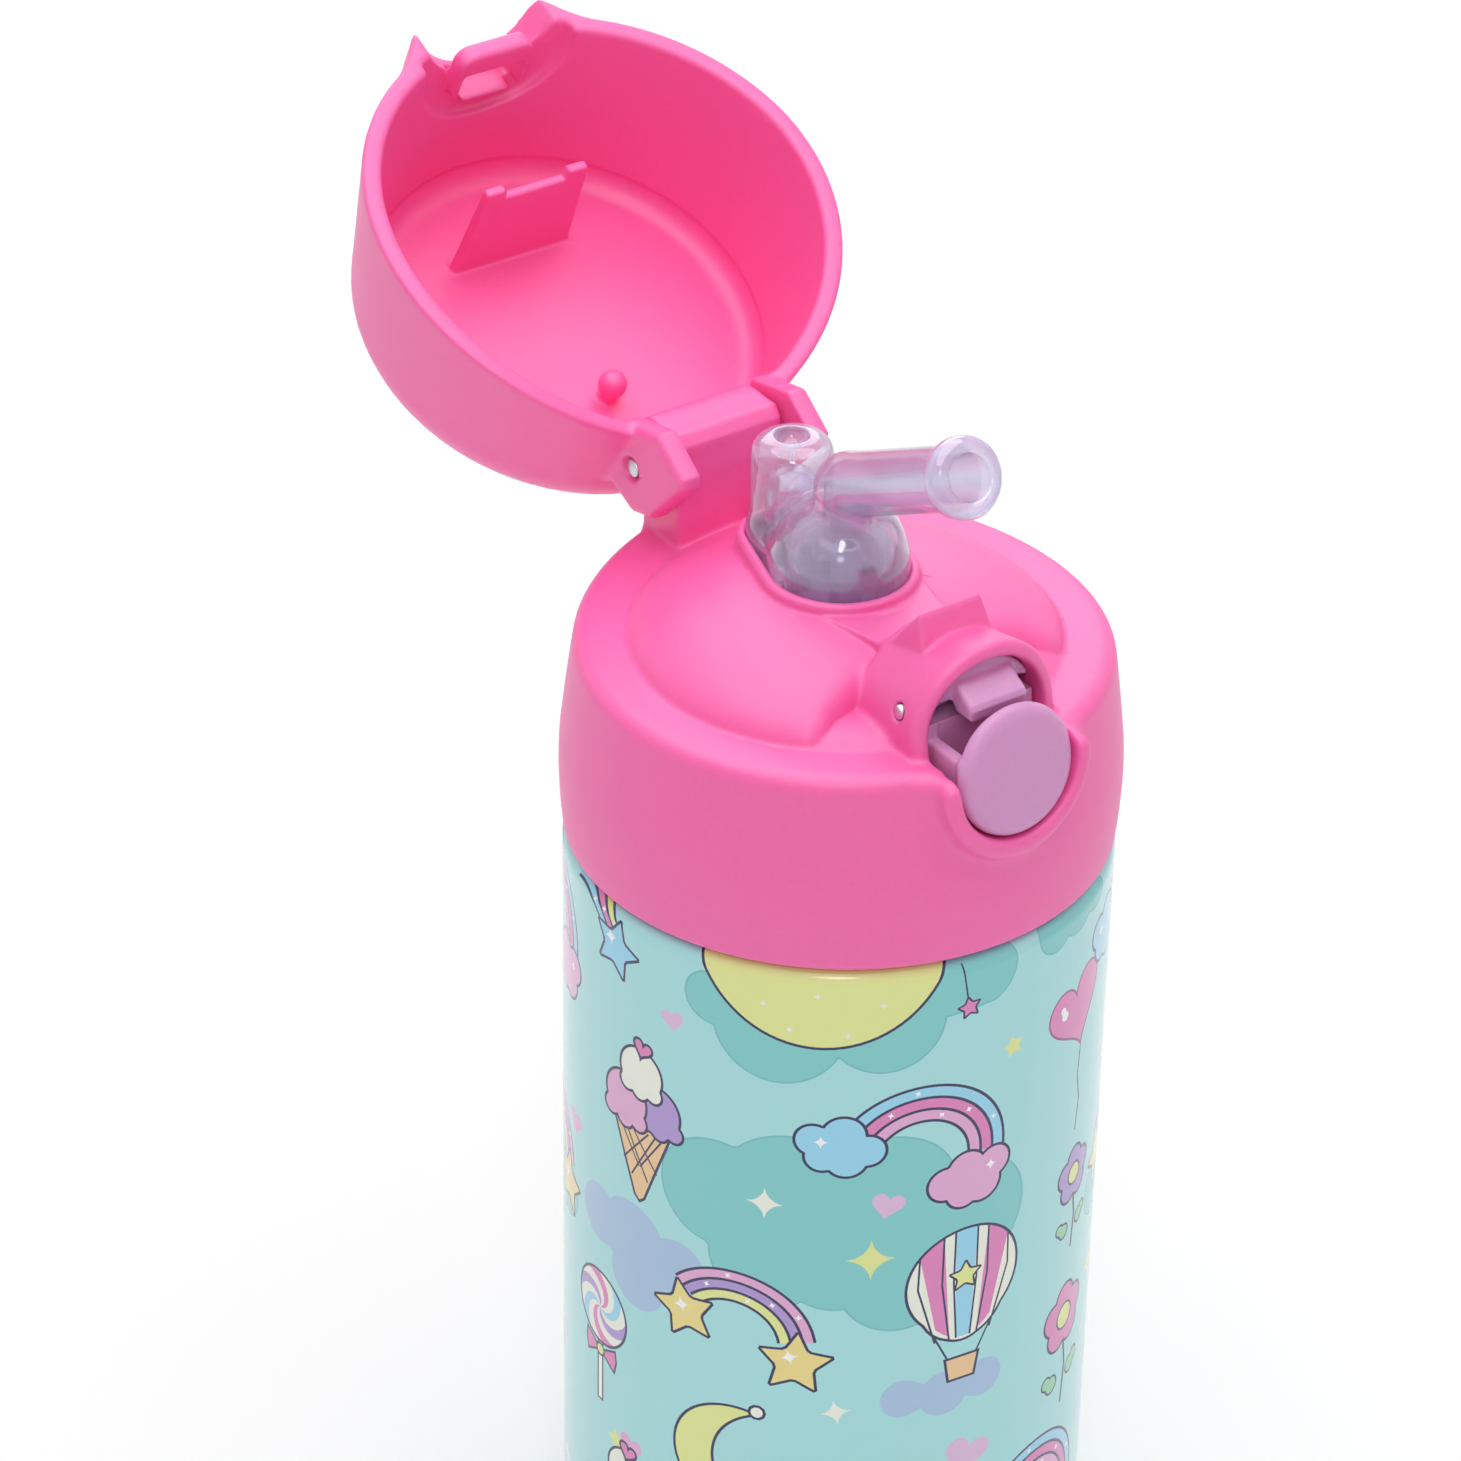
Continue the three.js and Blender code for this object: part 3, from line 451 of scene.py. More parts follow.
def marked_thick(obj):
    """Marks where the silicone is thick, and so milkier: the bead, the post's cap and the dome."""
    place = np.array([v.co for v in obj.data.vertices]) / MM - (0, 0, BASE)
    x, y, z = place.T
    axis = np.subtract(SPOUT_END, SPOUT_START) / SPOUT_LENGTH
    a = (place - SPOUT_START) @ axis
    off = np.linalg.norm(place - SPOUT_START - a[:, None] * axis, axis=1)
    bead = np.clip((off - 3.2) / 0.3, 0, 1) * np.clip((a - SPOUT_LENGTH + 3.4) / 0.5, 0, 1)
    cap = 0.7 * np.clip(z - 48.2, 0, 1) * (hypot(x, y - POST_Y) < 5.7)
    dome = 0.5 * (1 - np.clip(z - 47.0, 0, 1)) * (hypot(x, y - FRONT_C) < 9.2)
    thick = maximum(maximum(bead, cap), dome).astype(np.float32)
    obj.data.attributes.new("thick", "FLOAT", "POINT").data.foreach_set("value", thick)
    return obj


def turned_piece(name, outline, segments=96, across=None):
    """A closed turned piece: upright, heights from the base pad's underside, or along X through a centre."""
    count = len(outline)
    points, faces = [], []
    for i in range(segments):
        angle, j = 2 * pi * i / segments, (i + 1) % segments
        points += [(r * cos(angle) * MM, r * sin(angle) * MM, z * MM) for r, z in outline]
        for k in range(count):
            n = (k + 1) % count
            faces.append((i * count + k, j * count + k, j * count + n, i * count + n))
    obj = make_object(name, points, faces)
    bm = bmesh.new()
    bm.from_mesh(obj.data)
    bmesh.ops.remove_doubles(bm, verts=bm.verts, dist=1e-7)
    bmesh.ops.dissolve_degenerate(bm, edges=bm.edges, dist=1e-7)
    bmesh.ops.delete(bm, geom=[e for e in bm.edges if not e.link_faces], context="EDGES")
    bmesh.ops.recalc_face_normals(bm, faces=bm.faces)
    bm.to_mesh(obj.data)
    bm.free()
    obj.data.set_sharp_from_angle(angle=SHARP)
    if across:
        obj.data.transform(Matrix.Rotation(radians(90), 4, "Y"))
        obj.data.transform(Matrix.Translation(Vector(across) * MM))
    return obj


def domed_pin(name, node, radius, half):
    """A steel pin across the object with softly domed ends."""
    centre = middle(node)
    end = [(radius, half - 0.35), (radius * 0.9, half - 0.12), (radius * 0.6, half), (0, half + 0.06)]
    outline = [(r, -z) for r, z in reversed(end)] + end
    return turned_piece(name, outline, 48, (0, centre.y, centre.z))


def wire(name, path, radius, sides=12):
    """A round wire along a line of points, closed at both ends."""
    path = [Vector(p) for p in path]
    points, faces = [], []
    side = None
    for i, here in enumerate(path):
        ahead = (path[min(i + 1, len(path) - 1)] - path[max(i - 1, 0)]).normalized()
        side = side or ahead.orthogonal()
        side = (side - ahead * side.dot(ahead)).normalized()
        other = ahead.cross(side)
        for k in range(sides):
            angle = 2 * pi * k / sides
            points.append((here + (side * cos(angle) + other * sin(angle)) * radius) * MM)
    for i in range(len(path) - 1):
        for k in range(sides):
            n = (k + 1) % sides
            faces.append((i * sides + k, i * sides + n, (i + 1) * sides + n, (i + 1) * sides + k))
    faces.append(tuple(reversed(range(sides))))
    faces.append(tuple(range(len(points) - sides, len(points))))
    obj = make_object(name, points, faces)
    obj.data.set_sharp_from_angle(angle=radians(50))
    return obj


def button_coil():
    """Compression spring between the button and the housing, drawn at its resting length."""
    z = middle("button_spring").z
    front, rear, turns, radius = -26.2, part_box("button_spring")[1].y / MM - 0.35, 5.5, 2.75
    path = []
    for t in np.arange(200) / 199:
        angle = 2 * pi * turns * t
        # Closed turns at both ends: the pitch opens between a tenth and nine tenths of the length.
        flat = min(max((t - 0.1) / 0.8, 0), 1)
        y = front + (rear - front) * (0.06 * t + 0.94 * flat)
        path.append((radius * cos(angle), y, z + radius * sin(angle)))
    return wire("button_coil", path, 0.3), (0, rear * MM, z * MM)


def hinge_coil():
    """Torsion spring on the hinge pin, with a leg at its first end."""
    low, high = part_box("hinge_spring")
    half, radius, turns = high.x / MM - 0.45, 2.45, 7.0
    z = BASE + HINGE_Z
    path = [(-half, HINGE_Y - radius + 0.1, low.z / MM + 0.5)]
    for t in np.arange(240) / 239:
        angle = pi + 2 * pi * turns * t
        path.append((-half + 2 * half * t, HINGE_Y + radius * cos(angle), z + radius * sin(angle)))
    return wire("hinge_coil", path, 0.38)


# Materials.
def node(tree, kind, **settings):
    """A new shader node with its inputs set by name, _ standing for a space."""
    made = tree.nodes.new("ShaderNode" + kind)
    for key, value in settings.items():
        made.inputs[key.replace("_", " ")].default_value = value
    return made


def mapped(tree, value, low, high, **settings):
    """An output between 0 and 1, or the limits in settings, spread from low to high."""
    made = node(tree, "MapRange", To_Min=low, To_Max=high, **settings)
    tree.links.new(value, made.inputs["Value"])
    return made.outputs[0]


def calculated(tree, operation, *terms):
    """A Math node's output; each term is a number or another output."""
    made = tree.nodes.new("ShaderNodeMath")
    made.operation = operation
    for socket, term in zip(made.inputs, terms):
        if isinstance(term, float):
            socket.default_value = term
        else:
            tree.links.new(term, socket)
    return made.outputs[0]


def mixed(tree, amount, first, second):
    made = tree.nodes.new("ShaderNodeMixShader")
    for socket, source in zip(made.inputs, (amount, first.outputs[0], second.outputs[0])):
        tree.links.new(source, socket)
    return made


def principled(name):
    material = bpy.data.materials.new(name)
    material.use_nodes = True
    return material, material.node_tree, material.node_tree.nodes["Principled BSDF"]


def shader(name, colour, rough, grain=900, spread=0.04, relief=0.0, **values):
    """A Principled material with a faint moulded or painted grain in its colour, roughness and surface."""
    material, tree, main = principled(name)
    noise = node(tree, "TexNoise", Scale=grain, Detail=3)
    tree.links.new(node(tree, "TexCoord").outputs["Object"], noise.inputs["Vector"])
    noise = noise.outputs["Fac"]
    tone = node(tree, "MixRGB", Color1=(*[c * (1 - spread) for c in colour], 1),
                Color2=(*[min(c * (1 + spread), 1) for c in colour], 1))
    tree.links.new(noise, tone.inputs[0])
    tree.links.new(tone.outputs[0], main.inputs["Base Color"])
    tree.links.new(mapped(tree, noise, rough * 0.9, rough * 1.12), main.inputs["Roughness"])
    if relief:
        bump = node(tree, "Bump", Strength=relief, Distance=0.00005)
        tree.links.new(noise, bump.inputs["Height"])
        tree.links.new(bump.outputs[0], main.inputs["Normal"])
    for key, value in values.items():
        main.inputs[key.replace("_", " ")].default_value = value
    return material


def linear(r, g, b):
    """A screen colour, 0 to 255, as linear light."""
    return tuple(((c / 255 + 0.055) / 1.055) ** 2.4 for c in (r, g, b))


def silicone():
    """Clear silicone: milky lavender at its edges, nearly clear where it is seen square on."""
    material = shader("clear_silicone", linear(214, 206, 240), 0.06, grain=300, spread=0.015,
                      Transmission_Weight=0.4, IOR=1.3, Coat_Weight=1.0, Coat_Roughness=0.04)
    tree = material.node_tree
    facing = node(tree, "LayerWeight", Blend=0.5).outputs["Facing"]
    thick = node(tree, "Attribute")
    thick.attribute_name = "thick"
    milk = calculated(tree, "MULTIPLY_ADD", thick.outputs["Fac"], 0.42, mapped(tree, facing, 0.07, 0.66))
    milk.node.use_clamp = True
    clear = node(tree, "BsdfTransparent", Color=(0.95, 0.93, 0.98, 1))
    body = mixed(tree, milk, clear, tree.nodes["Principled BSDF"])
    sheen = mapped(tree, calculated(tree, "POWER", facing, 3.5), 0.08, 0.7)
    surface = mixed(tree, sheen, body, node(tree, "BsdfGlossy", Roughness=0.05))
    tree.links.new(surface.outputs[0], tree.nodes["Material Output"].inputs["Surface"])
    return material


def paint(name, rgb):
    return shader(name, linear(*rgb), 0.18, grain=60, spread=0.015, Coat_Weight=0.35, Coat_Roughness=0.05)


def plastic(name, rgb, rough, soft=0.2, **values):
    """A slightly translucent moulded plastic."""
    return shader(name, linear(*rgb), rough, Subsurface_Weight=soft, **values)


PINK = plastic("pink_polypropylene", (249, 100, 173), 0.42, relief=0.12, grain=1400, soft=0.25,
               Subsurface_Scale=0.004, Specular_IOR_Level=0.75)
LILAC = plastic("lilac_plastic", (213, 150, 200), 0.34, relief=0.1, grain=1400, Subsurface_Scale=0.004)
SILICONE = silicone()
MINT = paint("mint_gloss_paint", (168, 224, 226))
STEEL = shader("brushed_steel", (0.62, 0.63, 0.65), 0.28, grain=700, spread=0.05, Metallic=1.0)
GREY = shader("grey_silicone", linear(196, 198, 204), 0.6)
# Dark lavender for the white plastic parts under the silicone dome: painted shade inside the dome.
DOME_SHADE = plastic("dome_shade_plastic", (158, 146, 182), 0.3, Coat_Weight=0.5, Subsurface_Scale=0.003)
WHITE = plastic("white_plastic", (238, 236, 242), 0.42, Subsurface_Scale=0.003)


def dress(obj, material, body, slot, *nodes):
    """Gives an object its material and body, in place of CAD nodes; a blended one has no body. The slot is not
    used.
    """
    obj.data.materials.clear()
    obj.data.materials.append(material)
    if body:
        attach(obj, body)
    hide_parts(*nodes)
    return obj


dress(collar(), PINK, "collar", "lid_plastic", "lid_collar")
dress(cover(), PINK, "cover", "lid_plastic", "flip_cover")
dress(button(), LILAC, "button", "button_plastic", "push_button")
soft = dress(mouthpiece(), SILICONE, None, "clear_silicone", "mouthpiece_base", "spout_tube")
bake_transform(soft)
dress(domed_pin("hinge_pin_steel", "hinge_pin", HINGE_PIN_R, 11.85), STEEL, "cover", "steel", "hinge_pin")
dress(domed_pin("button_pin_steel", "button_pin", PIN_R, 10.75), STEEL, "collar", "steel", "button_pin")
coil, coil_seat = button_coil()
dress(coil, STEEL, "collar", "steel", "button_spring")
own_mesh(coil)
dress(hinge_coil(), STEEL, "collar", "steel", "hinge_spring")
PLATE = BASE + 29.9
NOZZLE = [(1.2, BASE + 18), (2.3, BASE + 18), (2.7, BASE + 18.5), (2.7, PLATE), (6.0, PLATE),
          (6.2, PLATE + 0.25), (6.2, PLATE + 0.95), (6.0, PLATE + 1.2), (3.3, PLATE + 1.2),
          (2.5, PLATE + 1.8), (2.1, PLATE + 3), (1.9, BASE + 40.6), (1.6, BASE + 41.3), (1.2, BASE + 41.4)]
# The white plastic straw nozzle gets the dark lavender of the painted shade inside the dome.
dress(turned_piece("straw_nozzle", NOZZLE), DOME_SHADE, "collar", "white_plastic", "straw_connector")
FOOT = [(0, 0), (25.8, 0), (26.1, 0.3), (27.1, 0.3), (27.4, 0), (30.9, 0), (31.3, 0.2), (31.5, 0.6),
        (31.5, 1.3), (31.2, 1.6), (0, 1.6)]
dress(turned_piece("foot_pad", FOOT, 192), GREY, "bottle", "soft_grey", "base_pad")


# Print: shapes drawn in millimetres round the body (u) and up its skin (s), coloured into the shell itself.
TOP = BASE - 0.4
SHOULDER_R = 2.4
SHOULDER = TOP - SHOULDER_R
PRINT_LOW, PRINT_HIGH = 8.0, SHOULDER + SHOULDER_R * pi / 2 + 1.0
HALF_ROUND = pi * BODY_R
AROUND = 288


def skin(s):
    """Radius and height of the shell's outside at a distance s up its profile."""
    turn = min(max(s - SHOULDER, 0) / SHOULDER_R, pi / 2)
    flat = max(s - SHOULDER - SHOULDER_R * pi / 2, 0)
    radius = BODY_R - SHOULDER_R * (1 - cos(turn)) - flat
    height = min(s, SHOULDER) + SHOULDER_R * sin(turn)
    return radius, height


class Artwork:
    """Collects coloured outlines; where they overlap, the one on the higher level shows."""

    def __init__(self):
        self.shapes = []

    def fill(self, outline, colour, level):
        outline = [(u, min(max(s, PRINT_LOW + 0.5), PRINT_HIGH - 0.4)) for u, s in outline]
        outline = [p for p, q in zip(outline, outline[1:] + outline[:1]) if math.dist(p, q) > 0.02]
        heights = [s for _, s in outline]
        if len(outline) > 2 and max(heights) - min(heights) > 0.05:
            self.shapes.append((np.array(outline), colour, level))

    def stroke(self, line, width, colour, level, closed=True):
        """A ribbon of even width along a line of points."""
        count = len(line)
        sides = []
        for i, here in enumerate(line):
            before = line[i - 1] if closed or i else here
            after = line[(i + 1) % count] if closed or i < count - 1 else here
            d1 = Vector((here[0] - before[0], here[1] - before[1])).normalized()
            d2 = Vector((after[0] - here[0], after[1] - here[1])).normalized()
            d1, d2 = (d1 if d1.length else d2), (d2 if d2.length else d1)
            tangent = (d1 + d2).normalized() if (d1 + d2).length > 0.1 else d1
            across = Vector((-tangent.y, tangent.x)) * (width / 2 / max(tangent.dot(d1), 0.45))
            sides.append(((here[0] + across.x, here[1] + across.y),
                    (here[0] - across.x, here[1] - across.y)))
        for i in range(count if closed else count - 1):
            (a, b), (c, d) = sides[i], sides[(i + 1) % count]
            self.fill([a, b, d, c], colour, level)

    def repeated(self):
        """The shapes that reach into one half of the way round, which repeats behind."""
        for outline, colour, level in self.shapes:
            for shift in (-2, -1, 0, 1, 2):
                copy = outline + np.array([shift * HALF_ROUND, 0])
                if copy[:, 0].max() > -HALF_ROUND / 2 and copy[:, 0].min() < HALF_ROUND / 2:
                    yield copy, colour, level

    def triangles(self):
        """One half of the skin cut along every outline: its points, triangles and their colours."""
        points, edges = [], []
        shapes = list(self.repeated())
        for outline, _, _ in shapes:
            first, count = len(points), len(outline)
            points += outline.tolist()
            edges += [(first + i, first + (i + 1) % count) for i in range(count)]
        shoulder = np.linspace(SHOULDER, SHOULDER + SHOULDER_R * pi / 2, 13)
        rows = [*np.linspace(PRINT_LOW, SHOULDER, 41)[:-1], *shoulder, PRINT_HIGH]
        half = AROUND // 2
        for row, s in enumerate(rows):
            first = len(points)
            points += [(-HALF_ROUND / 2 + HALF_ROUND * i / half, s) for i in range(half + 1)]
            if row == 0 or s >= SHOULDER:
                edges += [(first + i, first + i + 1) for i in range(half)]
            if row:
                edges += [(first - half - 1, first), (first - 1, first + half)]
        result = delaunay_2d_cdt([Vector(p) for p in points], edges, [], 0, 0.004, False)
        flat = np.array([tuple(p) for p in result[0]])
        faces = np.array(result[2])
        centre = flat[faces].mean(1)
        u, s = centre.T
        inside = (np.abs(u) < HALF_ROUND / 2) & (s > PRINT_LOW) & (s < PRINT_HIGH)
        faces, centre = faces[inside], centre[inside]
        return flat, faces, self.colour_of(centre, shapes)

    @staticmethod
    def colour_of(centre, shapes):
        order = np.argsort(centre[:, 0])
        ranked = centre[order]
        colours = np.full(len(centre), None, object)
        levels = np.full(len(centre), -1)
        for outline, colour, level in shapes:
            start, stop = np.searchsorted(ranked[:, 0], [outline[:, 0].min(), outline[:, 0].max()])
            u, s = ranked[start:stop].T
            hit = np.zeros(stop - start, bool)
            for (au, as_), (bu, bs) in zip(outline, np.roll(outline, -1, 0)):
                if as_ != bs:
                    hit ^= ((as_ > s) != (bs > s)) & (u < (bu - au) * (s - as_) / (bs - as_) + au)
            chosen = order[start:stop][hit]
            chosen = chosen[levels[chosen] <= level]
            colours[chosen] = colour
            levels[chosen] = level
        return colours


def bottle_shell(art, palette):
    """The steel shell as one closed mesh, with the print in its surface and a plain neck, inside and foot."""
    high_r = skin(PRINT_HIGH)[0]
    neck, inner, lip, wall = 26.6, 24.9, TOP + 15.1, TOP - 0.7
    rest = [(high_r, TOP), (neck, TOP)] + arc(neck, TOP + 1.1, 1.1, -100, -175, 4)
    rest += [(25.5, lip - 0.5), (25.3, lip), (inner, lip), (inner, TOP + 1), (26.0, wall), (33, wall)]
    rest += [(35.9, TOP - 3), (36.0, 6), (33.4, 2.6), (33.4, 1.9), (34.4, 2.1)]
    rest += arc(BODY_R - 3.6, 5.6, 3.6, -60, 0, 8) + [(BODY_R, PRINT_LOW)]
    points, faces = [], []
    count = len(rest)
    for i in range(AROUND):
        angle, j = 2 * pi * i / AROUND, (i + 1) % AROUND
        points += [(r * cos(angle), r * sin(angle), z) for r, z in rest]
        for k in range(count - 1):
            faces.append((i * count + k, j * count + k, j * count + k + 1, i * count + k + 1))
    inks = [0] * len(faces)
    names = ["mint"] + list(palette)
    flat, triangles, colours = art.triangles()
    for side in (0, pi):
        first = len(points)
        for u, s in flat:
            radius, height = skin(s)
            angle = u / BODY_R + side
            points.append((radius * sin(angle), -radius * cos(angle), height))
        faces += (triangles + first).tolist()
        inks += [names.index(c) if c else 0 for c in colours]
    obj = make_object("bottle_shell", [(x * MM, y * MM, z * MM) for x, y, z in points], faces)
    for material in [MINT] + list(palette.values()):
        obj.data.materials.append(material)
    obj.data.polygons.foreach_set("material_index", inks)
    bm = bmesh.new()
    bm.from_mesh(obj.data)
    bmesh.ops.delete(bm, geom=[v for v in bm.verts if not v.link_faces], context="VERTS")
    bmesh.ops.remove_doubles(bm, verts=bm.verts, dist=1e-6)
    seam = [v for v in bm.verts if abs(v.co.y) < 1e-7]
    bmesh.ops.remove_doubles(bm, verts=seam, dist=8e-6)
    bmesh.ops.recalc_face_normals(bm, faces=bm.faces)
    bm.to_mesh(obj.data)
    bm.free()
    obj.data.set_sharp_from_angle(angle=SHARP)
    # Smooth shading over the printed skin only; elsewhere (0, 0, 0) leaves the mesh's own.
    smooth = []
    for vertex in obj.data.vertices:
        x, y, z = vertex.co / MM
        r = math.hypot(x, y)
        if PRINT_LOW - 0.01 < z < TOP + 0.01 and r > high_r + 0.2:
            turn = math.asin(min(max((z - SHOULDER) / SHOULDER_R, 0), 1))
            smooth.append((cos(turn) * x / r, cos(turn) * y / r, sin(turn)))
        else:
            smooth.append((0, 0, 0))
    obj.data.normals_split_custom_set_from_vertices(smooth)
    return obj


art = Artwork()
INK, THIN = 0.42, 0.34


def ring_points(u, z, radius, start=0, end=360, count=None):
    count = count or max(10, int(abs(end - start) * radius / 40))
    full = abs(end - start) >= 360
    return arc(u, z, radius, start, end, count)[:count if full else count + 1]


def merged(u, z, circles, count=120):
    """Outline of overlapping circles seen from (u, z): the furthest edge along each ray."""
    outline = []
    for i in range(count):
        angle = 2 * pi * i / count
        c, s = cos(angle), sin(angle)
        reach = 0
        for cu, cz, r in circles:
            along, off = cu * c + cz * s, cu * s - cz * c
            if abs(off) < r:
                reach = max(reach, along + sqrt(r * r - off * off))
        outline.append((u + reach * c, z + reach * s))
    return outline


def inked(outline, colour, level=2, ink="ink", width=INK):
    art.fill(outline, colour, level)
    if ink:
        art.stroke(outline, width, ink, level + 2)


def thread(line, width, level):
    """An open ink line."""
    art.stroke(line, width, "ink", level, closed=False)


def puff(u, z, circles, colour, level):
    inked(merged(u, z, circles), colour, level)


def soft_cloud(u, z, circles, colour="teal", edge="teal_edge", level=0):
    """A cloud behind the motifs, with an edge in nearly its own colour."""
    outline = merged(u, z, circles, 180)
    art.fill(outline, colour, level)
    art.stroke(outline, 0.28, edge, level)


def small_cloud(u, z, circles):
    soft_cloud(u, z, circles, "lilac", "lilac", 1)


def star(u, z, radius, turn=0, inner=0.52, points=5):
    corners = [polar(u, z, radius if i % 2 == 0 else radius * inner, 90 + turn + 180 * i / points)
               for i in range(2 * points)]
    outline = []
    for a, b in zip(corners, corners[1:] + corners[:1]):
        outline += [(a[0] + (b[0] - a[0]) * t, a[1] + (b[1] - a[1]) * t) for t in (0.1, 0.37, 0.63, 0.9)]
    return outline


def sparkle(u, z, radius, turn=0):
    outline, power = [], 0.62
    for degrees in np.arange(0, 360, 7.5):
        c, s = polar(0, 0, 1, degrees)
        reach = radius / (abs(c) ** power + abs(s) ** power) ** (1 / power)
        outline.append(polar(u, z, reach, degrees + turn))
    return outline


def heart(u, z, size, turn=0):
    outline = []
    c, s = cos(radians(turn)), sin(radians(turn))
    for i in range(48):
        t = 2 * pi * i / 48
        x = sin(t) ** 3
        y = (13 * cos(t) - 5 * cos(2 * t) - 2 * cos(3 * t) - cos(4 * t)) / 16
        outline.append((u + size * (x * c - y * s), z + size * (x * s + y * c)))
    return outline


def rainbow(u, z, outer, inner, start, end, colours):
    """Concentric bands with inked edges."""
    width = (outer - inner) / len(colours)
    for i, colour in enumerate(colours):
        far, near = outer - i * width, outer - (i + 1) * width
        art.fill(ring_points(u, z, far, start, end, 40) + ring_points(u, z, near, end, start, 40), colour,
                2)
        thread(ring_points(u, z, far, start, end, 44), INK, 4)
    thread(ring_points(u, z, inner, start, end, 44), INK, 4)
    for i in range(5):
        angle = start + (end - start) * (0.18 + 0.16 * i)
        r = outer - width * (0.5 + i % len(colours))
        p = ring_points(u, z, r, angle, angle + 1, 1)[0]
        art.fill(sparkle(p[0], p[1], 0.55, 20 * i), "white", 3)


def shine(u, z, size):
    art.fill(sparkle(u, z, size, 15), "white", 5)


def cloud_rainbow(u, z):
    rainbow(u, z, 12.1, 6.6, -4, 146, ["sky", "rose", "blush"])
    puff(u - 11.0, z + 3.3, [(-3.6, 1.2, 2.5), (0.4, 2.0, 3.0), (3.6, -0.5, 2.5), (0.8, -1.8, 2.9),
            (-2.4, -1.4, 2.4)], "sky", 5)
    puff(u + 7.7, z - 4.3, [(-4.2, -0.3, 2.7), (-1.2, 1.4, 2.9), (3.0, 1.2, 2.6), (1.2, -1.6, 3.0),
            (-1.6, -2.2, 2.6)], "blush", 5)
    art.fill(sparkle(u - 13.6, z + 4.2, 1.0), "white", 8)
    art.fill(sparkle(u + 10.2, z - 3.4, 0.9), "white", 8)


def star_rainbow(u, z):
    rainbow(u, z, 11.5, 6.6, 8, 138, ["blush", "violet", "lemon"])
    inked(star(u - 7.1, z + 2.5, 5.2, 14, 0.5), "gold", 5)
    inked(star(u + 8.8, z - 2.2, 5.5, -4, 0.5), "gold", 5)
    shine(u - 7.6, z + 3.2, 1.2)
    shine(u + 8.0, z - 1.2, 1.2)


def ice_cream(u, z):
    inked([(u - 5.2, z), (u + 5.2, z), (u + 0.9, z - 11.6), (u, z - 12.4), (u - 0.9, z - 11.6)], "wafer", 2)
    for i in (-1, 0, 1):
        thread([(u - 4.2 + 1.2 * i + 1.4, z - 0.6), (u + 1.6 * i + 1.5, z - 8.6 + 2 * abs(i))], 0.28, 4)
        thread([(u + 4.2 + 1.2 * i - 1.4, z - 0.6), (u + 1.6 * i - 1.5, z - 8.6 + 2 * abs(i))], 0.28, 4)
    puff(u + 2.9, z + 3.2, [(0, 0.6, 4.0), (-2.4, -2.0, 1.6), (0.6, -2.4, 1.6), (3.0, -1.8, 1.5)],
         "violet", 5)
    puff(u - 2.9, z + 2.6, [(0, 0.6, 4.1), (-2.8, -2.0, 1.6), (0, -2.6, 1.7), (2.6, -2.2, 1.6)], "blush", 8)
    puff(u, z + 8.2, [(0, 0.4, 3.9), (-2.4, -2.0, 1.5), (0, -2.4, 1.6), (2.4, -2.0, 1.5)], "cream", 11)
    inked(heart(u + 0.4, z + 12.6, 1.7, -12), "rose", 14)
    shine(u - 4.6, z + 4.6, 1.2)
    shine(u - 1.2, z + 9.6, 1.1)


def lollipop(u, z):
    def swirl(start, radii):
        return [polar(u, z, r, start + 16 * r) for r in radii]

    sweet = 6.0
    stick = [(u - 0.6, z - 4), (u + 0.6, z - 4), (u + 0.6, z - 16), (u - 0.6, z - 16)]
    inked(stick, "white", 2, width=THIN)
    inked(ring_points(u, z, sweet), "cream", 5)
    for i in range(6):
        spoke = swirl(60 * i, np.linspace(0, sweet, 9)) + swirl(60 * i + 30, np.linspace(sweet, 0.2, 9))
        art.fill(spoke, ("rose", "violet", "sky")[i % 3], 6)
    art.stroke(ring_points(u, z, sweet), INK, "ink", 8)
    for side in (-1, 1):
        inked([(u, z - 7.4), (u + side * 3.6, z - 5.6), (u + side * 3.9, z - 7.4),
                (u + side * 3.4, z - 9.4)], "rose", 9, width=THIN)
    inked(ring_points(u, z - 7.4, 1.0), "lemon", 12, width=THIN)


def air_balloon(u, z):
    crown = 8.6

    def seam_top(x):
        return u + x, z + sqrt(max(crown ** 2 - x * x, 1))

    for side in (-1, 1):
        thread([(u + side * 5.4, z - 6.4), (u + side * 2.2, z - 13)], 0.3, 4)
    inked([(u - 2.6, z - 13), (u + 2.6, z - 13), (u + 2.0, z - 16.8), (u - 2.0, z - 16.8)], "wafer", 5)
    inked(merged(u, z, [(0, 0, crown), (0, -3.4, 6.6), (0, -5.6, 4.6)]), "cream", 5)
    for k, colour in ((-1, "rose"), (1, "rose"), (0, "sky")):
        left, right = (k - 0.5) * 3.4 + k * 1.7, (k + 0.5) * 3.4 + k * 1.7
        high = [seam_top(x) for x in np.linspace(left, right, 6)]
        low = [(u + x * 0.62, z - 9.6 + 0.05 * x * x) for x in np.linspace(right, left, 6)]
        art.fill(high + low, colour, 6)
        for x in (left, right):
            thread([seam_top(x), (u + x * 1.02, z), (u + x * 0.62, z - 9.6)], 0.3, 7)
    inked(star(u, z + 0.6, 2.6, 0, 0.5), "lemon", 9, width=0.32)
    shine(u - 5.2, z + 3.6, 1.3)


def flower(u, z, size=1.0, colour="rose"):
    thread([(u, z - 3 * size), (u + 0.8 * size, z - 8 * size), (u + 0.2 * size, z - 14 * size)], 0.5, 3)
    for side in (-1, 1):
        leaf = [(0, 0, 1.3 * size), (side * 1.2 * size, 0.8 * size, 1.0 * size)]
        inked(merged(u + side * 2.6 * size, z - 9.4 * size, leaf), "leaf", 2, width=0.32)
    petals = [(*polar(0, 0, 2.7 * size, 90 + 72 * i), 2.35 * size) for i in range(5)]
    inked(merged(u, z, petals), colour, 5)
    inked(ring_points(u, z, 1.9 * size), "lemon", 8, width=THIN)


